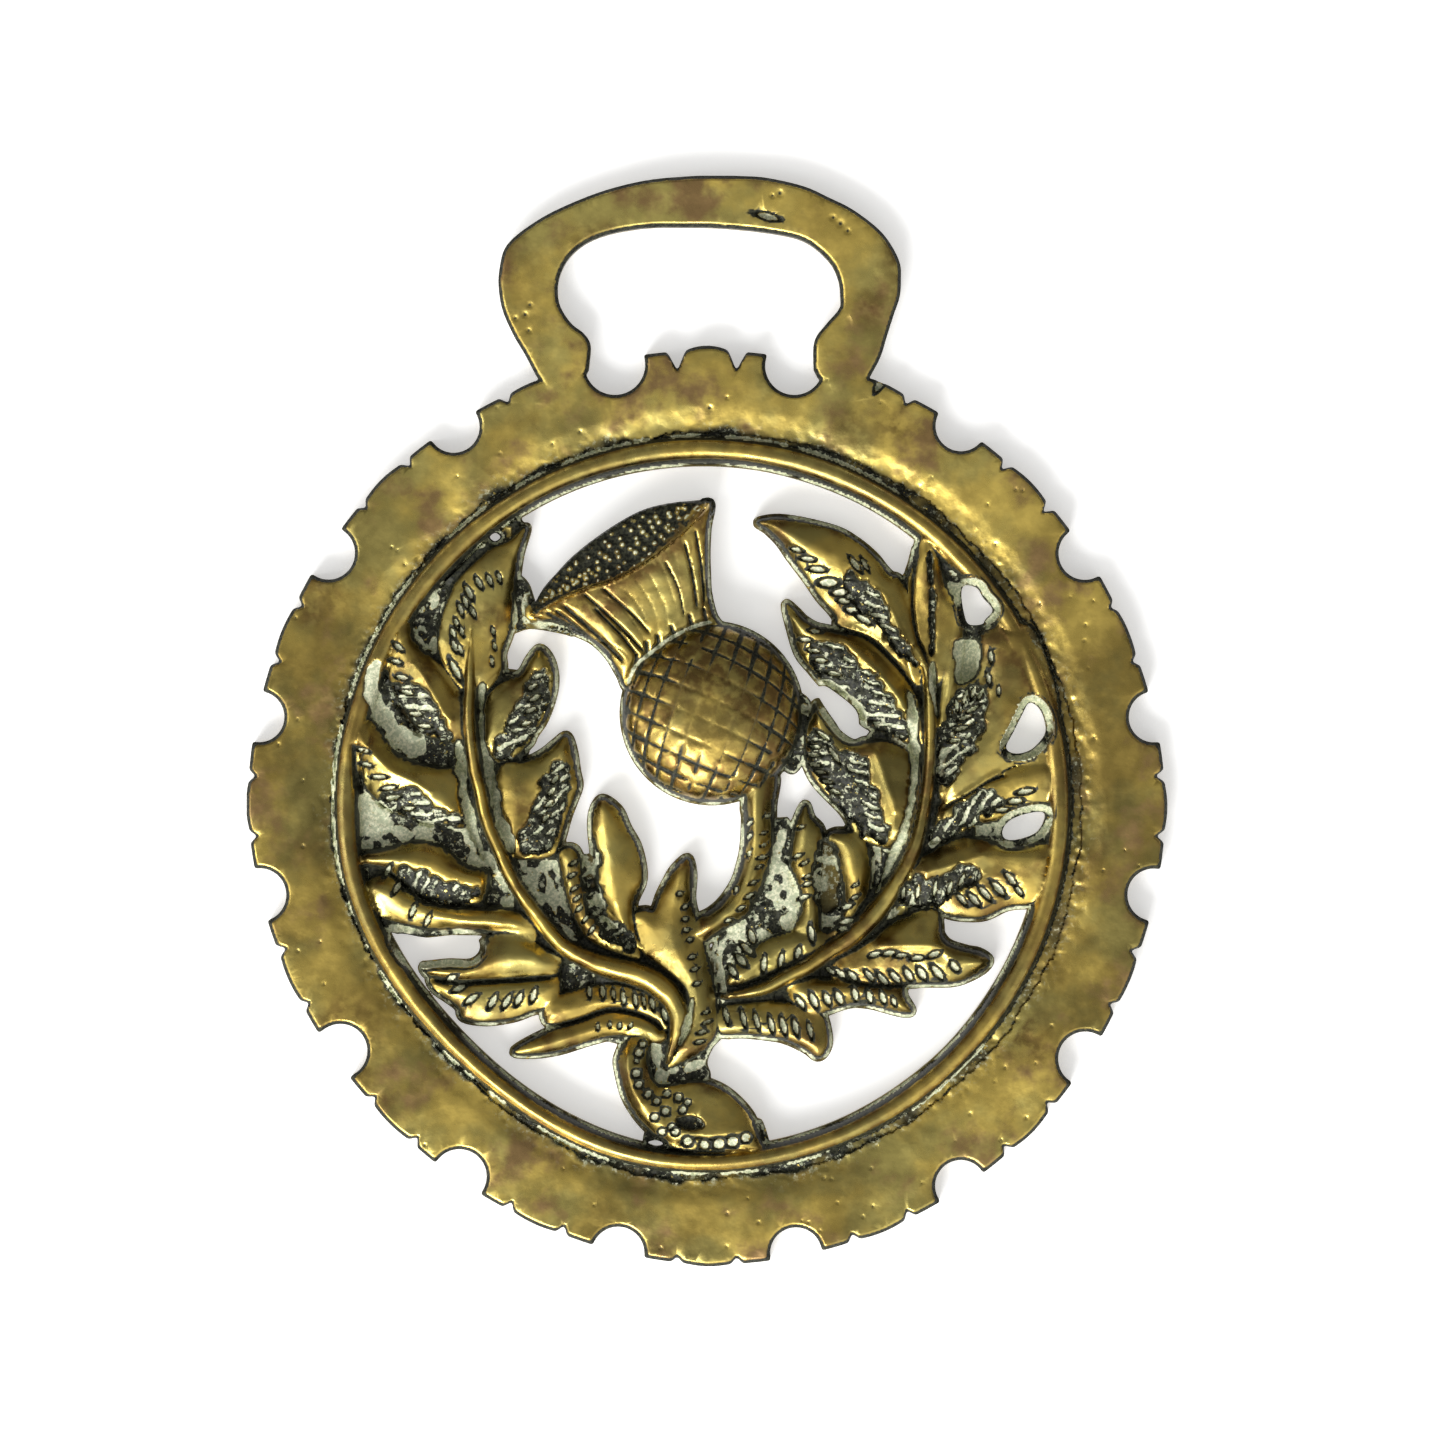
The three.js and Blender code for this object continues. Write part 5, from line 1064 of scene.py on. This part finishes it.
# Mesh
def build_mesh():
    """Points and triangles of the casting: its top, its upright walls and its flat back."""
    rows, columns = X.shape
    ids = np.arange(rows * columns).reshape(rows, columns)
    a, b = ids[:-1, :-1], ids[:-1, 1:]
    c, d = ids[1:, 1:], ids[1:, :-1]
    cells = np.stack([a, b, c, d], -1).reshape(-1, 4)
    odd = (np.arange(rows - 1)[:, None] + np.arange(columns - 1)[None, :]) % 2
    flip = odd.reshape(-1).astype(bool)
    first = np.where(flip[:, None], cells[:, [0, 1, 3]], cells[:, [0, 1, 2]])
    second = np.where(flip[:, None], cells[:, [1, 2, 3]], cells[:, [0, 2, 3]])
    triangles = np.concatenate([first, second])
    value = shape.ravel()
    inside = value > 0
    count = inside[triangles].sum(1)
    whole = triangles[count == 3]
    px, py, pz = X.ravel(), Y.ravel(), height.ravel()

    def turned_first(group, wanted):
        """Each triangle turned so that the lone corner comes first."""
        lone = np.argmax(inside[group] == wanted, axis=1)
        order = (lone[:, None] + np.arange(3)[None, :]) % 3
        return np.take_along_axis(group, order, 1)

    # Triangles with one or two corners inside are cut where the plan's outline crosses them
    one = turned_first(triangles[count == 1], True)
    two = turned_first(triangles[count == 2], False)
    edges = np.concatenate([one[:, [0, 1]], one[:, [0, 2]], two[:, [0, 1]], two[:, [0, 2]]])
    unique, back = np.unique(np.sort(edges, 1), axis=0, return_inverse=True)
    back = back.ravel()
    start, end = unique[:, 0], unique[:, 1]
    t = np.clip(value[start] / (value[start] - value[end]), 0.02, 0.98)
    cut_xyz = np.stack([
        px[start] * (1 - t) + px[end] * t,
        py[start] * (1 - t) + py[end] * t,
        np.minimum(pz[start], pz[end]),
    ], 1)
    base = rows * columns
    n1, n2 = len(one), len(two)
    c1, c2 = base + back[:n1], base + back[n1:2 * n1]
    c3, c4 = base + back[2 * n1:2 * n1 + n2], base + back[2 * n1 + n2:]
    top = np.concatenate([
        whole,
        np.stack([one[:, 0], c1, c2], 1),
        np.stack([c3, two[:, 1], two[:, 2]], 1),
        np.stack([c3, two[:, 2], c4], 1),
    ])
    rim_edges = np.concatenate([np.stack([c1, c2], 1), np.stack([c4, c3], 1)])

    # Only the points in use are kept, and each has a second one below it on the back
    points = np.concatenate([np.stack([px, py, pz], 1), cut_xyz])
    used, remap = np.unique(np.concatenate([top.ravel(), rim_edges.ravel()]), return_inverse=True)
    remap = remap.ravel()
    top = remap[:top.size].reshape(-1, 3)
    rim_edges = remap[top.size:].reshape(-1, 2)
    points = points[used]
    n = len(points)
    under = points.copy()
    under[:, 2] = 0
    bottom = top[:, ::-1] + n
    p, q = rim_edges[:, 0], rim_edges[:, 1]
    sides = [np.stack([p, q, q + n], 1)[:, ::-1], np.stack([p, q + n, p + n], 1)[:, ::-1]]
    return np.concatenate([points, under]), np.concatenate([top, bottom] + sides)


def full_mesh():
    """The whole grid's mesh in Blender, placed in the frame."""
    points, faces = build_mesh()
    placed = points * MM
    placed[:, 0] += CENTRE_X
    placed[:, 1] += CENTRE_Y
    raw = bpy.data.meshes.new("raw")
    raw.vertices.add(len(placed))
    raw.vertices.foreach_set("co", placed.ravel())
    raw.loops.add(faces.size)
    raw.loops.foreach_set("vertex_index", faces.ravel().astype(np.int32))
    raw.polygons.add(len(faces))
    raw.polygons.foreach_set("loop_start", np.arange(0, faces.size, 3, dtype=np.int32))
    raw.update(calc_edges=True)
    return raw


def thinned(raw):
    """A copy of a mesh with about TRIANGLES triangles."""
    work = bpy.data.objects.new("work", raw)
    bpy.context.scene.collection.objects.link(work)
    thin = work.modifiers.new("thin", "DECIMATE")
    thin.ratio = TRIANGLES / len(raw.polygons)
    evaluated = work.evaluated_get(bpy.context.evaluated_depsgraph_get())
    made = bpy.data.meshes.new_from_object(evaluated)
    bpy.data.objects.remove(work)
    return made


mesh = thinned(full_mesh())
mesh.name = "brass_casting"
mesh.materials.clear()
mesh.shade_smooth()
mesh.set_sharp_from_angle(angle=math.radians(50))
piece = bpy.data.objects.new("brass_casting", mesh)
bpy.context.scene.collection.objects.link(piece)

# Masks on the points of the mesh, which the material reads
co = np.zeros(len(mesh.vertices) * 3)
mesh.vertices.foreach_get("co", co)
co = co.reshape(-1, 3)
gx = np.clip(((co[:, 0] - CENTRE_X) / MM - x_axis[0]) / STEP, 0, len(x_axis) - 1.001)
gy = np.clip(((co[:, 1] - CENTRE_Y) / MM - y_axis[0]) / STEP, 0, len(y_axis) - 1.001)
gi, gj = gx.astype(int), gy.astype(int)
fx, fy = gx - gi, gy - gj
lower_part = co[:, 2] < 0.0004


def write_mask(name, field, below=0.0):
    """Stores a field on the mesh, with one value for the lower part of walls and the back."""
    sample = (field[gj, gi] * (1 - fx) * (1 - fy) + field[gj, gi + 1] * fx * (1 - fy)
              + field[gj + 1, gi] * (1 - fx) * fy + field[gj + 1, gi + 1] * fx * fy)
    sample = np.where(lower_part, below, np.clip(sample, 0, 1))
    layer = mesh.attributes.new(name, "FLOAT", "POINT")
    layer.data.foreach_set("value", sample.astype(np.float32))


# Painted shade along the outlines: on the upper walls of tall parts, and a dark line on the edges of
# the ornament's forms
edge_shade = smooth((0.36 - shape) / 0.16) * (height > 1.5)
outline_shade_line = np.exp(-((shape - 0.4) / 0.12) ** 2) * (R < 28.2) * (1 - by_hole)
outline_shade = np.maximum(edge_shade, outline_shade_line)
# The dirt together with the painted shade of hollows, walls and outlines
all_dirt_and_shade = np.maximum(np.maximum(dirt_and_shade, 0.5 * hollow + wall), outline_shade)
pale_flash = flash * (0.35 + 0.65 * smooth(PATCHY + 0.7)) * (shape < 0.34)
pale = np.maximum(pale * (1 - 0.9 * outline_shade), pale_flash)
pale *= smooth((shape - 0.04) / 0.08)
# The lower walls and the back get painted shade of 0.5 in this mask
write_mask("dirt_and_shade", np.clip(all_dirt_and_shade, 0, 1) * (1 - pale * 0.8), 0.5)
write_mask("pale", pale)

fade_right = 1 - 0.3 * smooth(np.cos(np.radians(TURN)))
groove_gravel = gravel * (0.72 + 0.25 * noise(1.5, 98)) * fade_right
write_mask("gravel", np.where(in_groove, groove_gravel, np.maximum(gravel, flash * 0.6)))
write_mask("rim", smooth((R - 30) / 1.5))

upright = np.sin(np.radians(TURN))
on_plate = smooth((R - 28.5) / 1.5)
rubbed = np.where(upright > 0, 0.9, 0.5) * np.abs(upright) ** 1.5
plate_polish = 0.08 + rubbed + 0.5 * noise(7, 71) + 0.35 * noise(2.5, 73)
relief_polish = 0.4 + 0.45 * noise(4, 72)
write_mask("polish", plate_polish * on_plate + relief_polish * (1 - on_plate))

on_rim = (R > 31.7 - pull) & (shape > 0)
rim_brown = 0.9 * on_rim * smooth(noise(5, 51) * 0.8 + noise(2, 52) * 0.4)
# Painted shade: steep slopes darker brown
slope_shade = 0.7 * smooth((slope - 0.5) / 0.9)
patches = smooth(noise(2.6, 53) + 0.5 * noise(1.1, 54) + 0.1)
relief_brown = 0.9 * (R < ORNAMENT_RADIUS) * patches
bead_brown = 0.45 * on_bead
patina_and_shade = np.clip(patina_and_shade + rim_brown + slope_shade + relief_brown + bead_brown, 0, 1)
# This mask holds patina and painted shade; the lower walls and the back get painted shade of 0.8
write_mask("patina_and_shade", patina_and_shade, 0.8)


# Materials
YELLOW_BRASS, GREEN_BRASS = (0.88, 0.66, 0.16, 1), (0.62, 0.52, 0.16, 1)
DULL_BRASS, DULL_GREEN = (0.4, 0.29, 0.075, 1), (0.27, 0.22, 0.07, 1)
WARM_STAIN = (0.4, 0.26, 0.11, 1)
# Tarnish brown, which also colours the painted shade on slopes, walls and the bulb
TARNISH_AND_SHADE = (0.17, 0.1, 0.035, 1)
# Black and grey of the dirt, which also colour the painted shade of creases, hollows and walls
BLACK_DIRT_AND_SHADE, GREY_DIRT_AND_SHADE = (0.008, 0.009, 0.006, 1), (0.035, 0.036, 0.022, 1)
GREEN_RESIDUE, CREAM_RESIDUE = (0.46, 0.5, 0.34, 1), (0.8, 0.79, 0.57, 1)
BUMP_HEIGHT = 0.00004


def range_node(tree, value, start, end, first=0.0, last=1.0):
    """A soft step from one number to another while the value goes from start to end."""
    node = tree.nodes.new("ShaderNodeMapRange")
    node.interpolation_type = "SMOOTHSTEP"
    names = ("From Min", "From Max", "To Min", "To Max")
    for name, number in zip(names, (start, end, first, last)):
        node.inputs[name].default_value = number
    tree.links.new(value, node.inputs["Value"])
    return node.outputs["Result"]


def mix_node(tree, factor, value, number):
    """A value that gives way to a number as the factor goes from 0 to 1."""
    node = tree.nodes.new("ShaderNodeMix")
    tree.links.new(factor, node.inputs[0])
    tree.links.new(value, node.inputs[2])
    node.inputs[3].default_value = number
    return node.outputs[0]


def brass_material():
    """Polished and dull brass under tarnish, black dirt, pale residue and painted shade."""
    made = bpy.data.materials.new("brass")
    made.use_nodes = True
    nodes, links = made.node_tree.nodes, made.node_tree.links
    bsdf = nodes["Principled BSDF"]
    place = nodes.new("ShaderNodeTexCoord")

    def grain(scale, detail=3.0, rough=0.55):
        node = nodes.new("ShaderNodeTexNoise")
        node.inputs["Scale"].default_value = scale
        node.inputs["Detail"].default_value = detail
        node.inputs["Roughness"].default_value = rough
        links.new(place.outputs["Object"], node.inputs["Vector"])
        return node.outputs["Fac"]

    def mask(name):
        node = nodes.new("ShaderNodeAttribute")
        node.attribute_name = name
        return node.outputs["Fac"]

    def span(value, *numbers):
        return range_node(made.node_tree, value, *numbers)

    def fill(socket, value):
        if isinstance(value, (float, tuple)):
            socket.default_value = value
        else:
            links.new(value, socket)

    def math_node(kind, a, b):
        node = nodes.new("ShaderNodeMath")
        node.operation = kind
        node.use_clamp = True
        fill(node.inputs[0], a)
        fill(node.inputs[1], b)
        return node.outputs[0]

    def both(a, b):
        return math_node("MULTIPLY", a, b)

    def either(a, b):
        return math_node("MAXIMUM", a, b)

    def blend(factor, a, b):
        node = nodes.new("ShaderNodeMix")
        node.data_type = "RGBA"
        links.new(factor, node.inputs["Factor"])
        fill(node.inputs[6], a)
        fill(node.inputs[7], b)
        return node.outputs[2]

    # Painted shade on the walls: dark brown towards their foot; they carry the top's dirt and shade
    # only near the top
    apart = nodes.new("ShaderNodeSeparateXYZ")
    links.new(place.outputs["Object"], apart.inputs["Vector"])
    above = span(apart.outputs["Z"], 0.0003, 0.0009)
    sides = span(above, 0.0, 1.0, 0.75, 0.0)

    fine, speck, cloud = grain(2600), grain(4200, 2.0), grain(150, 4.0)
    bright = blend(span(cloud, 0.4, 0.62), YELLOW_BRASS, GREEN_BRASS)
    dull = blend(span(cloud, 0.4, 0.6), DULL_BRASS, DULL_GREEN)
    metal = blend(mask("polish"), dull, bright)
    warm = span(grain(230, 5.0), 0.5, 0.68)
    metal = blend(both(warm, mask("rim")), metal, WARM_STAIN)
    mottle = span(grain(900, 4.0), 0.35, 0.6, 0.35, 0.9)
    metal = blend(both(either(mask("patina_and_shade"), sides), mottle), metal, TARNISH_AND_SHADE)

    gravel_mask = mask("gravel")
    dark_gravel = both(gravel_mask, span(fine, 0.26, 0.38))
    pale_gravel = both(gravel_mask, span(grain(1900, 4.0, 0.7), 0.55, 0.62, 0.0, 0.7))
    # The dark cover: black dirt, with the painted shade of creases, hollows, walls and outlines
    dirt = both(span(either(mask("dirt_and_shade"), dark_gravel), 0.25, 0.75), above)
    broken_pale = both(mask("pale"), span(fine, 0.25, 0.5, 0.5, 1.0))
    residue = either(span(broken_pale, 0.35, 0.7), pale_gravel)
    dirt_and_shade_colour = blend(span(speck, 0.4, 0.6), BLACK_DIRT_AND_SHADE, GREY_DIRT_AND_SHADE)
    residue_colour = blend(span(speck, 0.4, 0.65), GREEN_RESIDUE, CREAM_RESIDUE)
    colour = blend(residue, blend(dirt, metal, dirt_and_shade_colour), residue_colour)
    cover = either(dirt, residue)

    bsdf.inputs["Specular IOR Level"].default_value = 0.2
    links.new(colour, bsdf.inputs["Base Color"])
    links.new(span(cover, 0.0, 1.0, 1.0, 0.0), bsdf.inputs["Metallic"])
    metal_rough = span(grain(700, 4.0), 0.3, 0.7, 0.24, 0.4)
    links.new(mix_node(made.node_tree, cover, metal_rough, 0.5), bsdf.inputs["Roughness"])
    bump = nodes.new("ShaderNodeBump")
    bump.inputs["Strength"].default_value = 0.35
    bump.inputs["Distance"].default_value = BUMP_HEIGHT
    links.new(fine, bump.inputs["Height"])
    links.new(bump.outputs["Normal"], bsdf.inputs["Normal"])
    return made


mesh.materials.append(brass_material())
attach(piece, "root")
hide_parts("horse_brass")

# Floor: white paper that glows a little, just under the casting
FLOOR_REACH, FLOOR_Z = 3, -0.0001
PAPER = {
    "Base Color": (0.88, 0.88, 0.88, 1),
    "Roughness": 0.9,
    "Emission Color": (1, 1, 1, 1),
    "Emission Strength": 0.42,
}
floor_mesh = bpy.data.meshes.new("floor")
corners = [(x * FLOOR_REACH, y * FLOOR_REACH, FLOOR_Z) for x, y in ((-1, -1), (1, -1), (1, 1), (-1, 1))]
floor_mesh.from_pydata(corners, [], [(0, 1, 2, 3)])
floor = bpy.data.objects.new("floor", floor_mesh)
bpy.context.scene.collection.objects.link(floor)
paper = bpy.data.materials.new("paper")
paper.use_nodes = True
for name, value in PAPER.items():
    paper.node_tree.nodes["Principled BSDF"].inputs[name].default_value = value
floor_mesh.materials.append(paper)


# Light
def area(name, place, size, watts):
    """A lamp aimed at the casting, with its place and size in metres."""
    lamp = bpy.data.lights.new(name, "AREA")
    lamp.shape = "RECTANGLE"
    lamp.size, lamp.size_y = size
    lamp.energy = watts
    made = bpy.data.objects.new(name, lamp)
    bpy.context.scene.collection.objects.link(made)
    made.location = place
    aim = bpy.data.objects["body:root"].location - made.location
    made.rotation_mode = "QUATERNION"
    made.rotation_quaternion = aim.to_track_quat("-Z", "Y")


area("key", place=(-0.3, -0.6, 0.5), size=(0.5, 0.3), watts=7.5)
area("side", place=(-0.72, -0.1, 0.34), size=(0.12, 0.6), watts=1.0)

# The surroundings are bright on the near side, dim on the far side and even overhead
SKY_TURN, SKY_TOP = 0.3, 0.4
world = bpy.data.worlds.new("studio")
bpy.context.scene.world = world
world.use_nodes = True
nodes, links = world.node_tree.nodes, world.node_tree.links
place = nodes.new("ShaderNodeTexCoord")
turn = nodes.new("ShaderNodeVectorRotate")
turn.inputs["Axis"].default_value = (0, 0, 1)
turn.inputs["Angle"].default_value = SKY_TURN
split = nodes.new("ShaderNodeSeparateXYZ")
links.new(place.outputs["Generated"], turn.inputs["Vector"])
links.new(turn.outputs["Vector"], split.inputs["Vector"])
around = range_node(world.node_tree, split.outputs["Y"], -0.8, 0.5, 1.25, 0.22)
overhead = range_node(world.node_tree, split.outputs["Z"], 0.8, 1.0, 0.0, 1.0)
level = mix_node(world.node_tree, overhead, around, SKY_TOP)
links.new(level, nodes["Background"].inputs["Strength"])
nodes["Background"].inputs["Color"].default_value = (1, 0.99, 0.96, 1)

# Camera: straight above, with the photo's field of view in mm at the height of the plate
LENS, SENSOR = 200, 36
VIEW_WIDTH = 119.1
VIEW_RIGHT, VIEW_UP = 1.28, 6.88
lens = bpy.data.cameras.new("camera")
lens.lens, lens.sensor_width = LENS, SENSOR
lens.clip_start, lens.clip_end = 0.01, 20
camera = bpy.data.objects.new("camera", lens)
bpy.context.scene.collection.objects.link(camera)
distance = VIEW_WIDTH / SENSOR * LENS + PLATE
camera.location = (CENTRE_X + VIEW_RIGHT * MM, CENTRE_Y + VIEW_UP * MM, distance * MM)
bpy.context.scene.camera = camera
bpy.context.scene.view_settings.view_transform = "Standard"
bpy.context.scene.view_settings.look = "None"
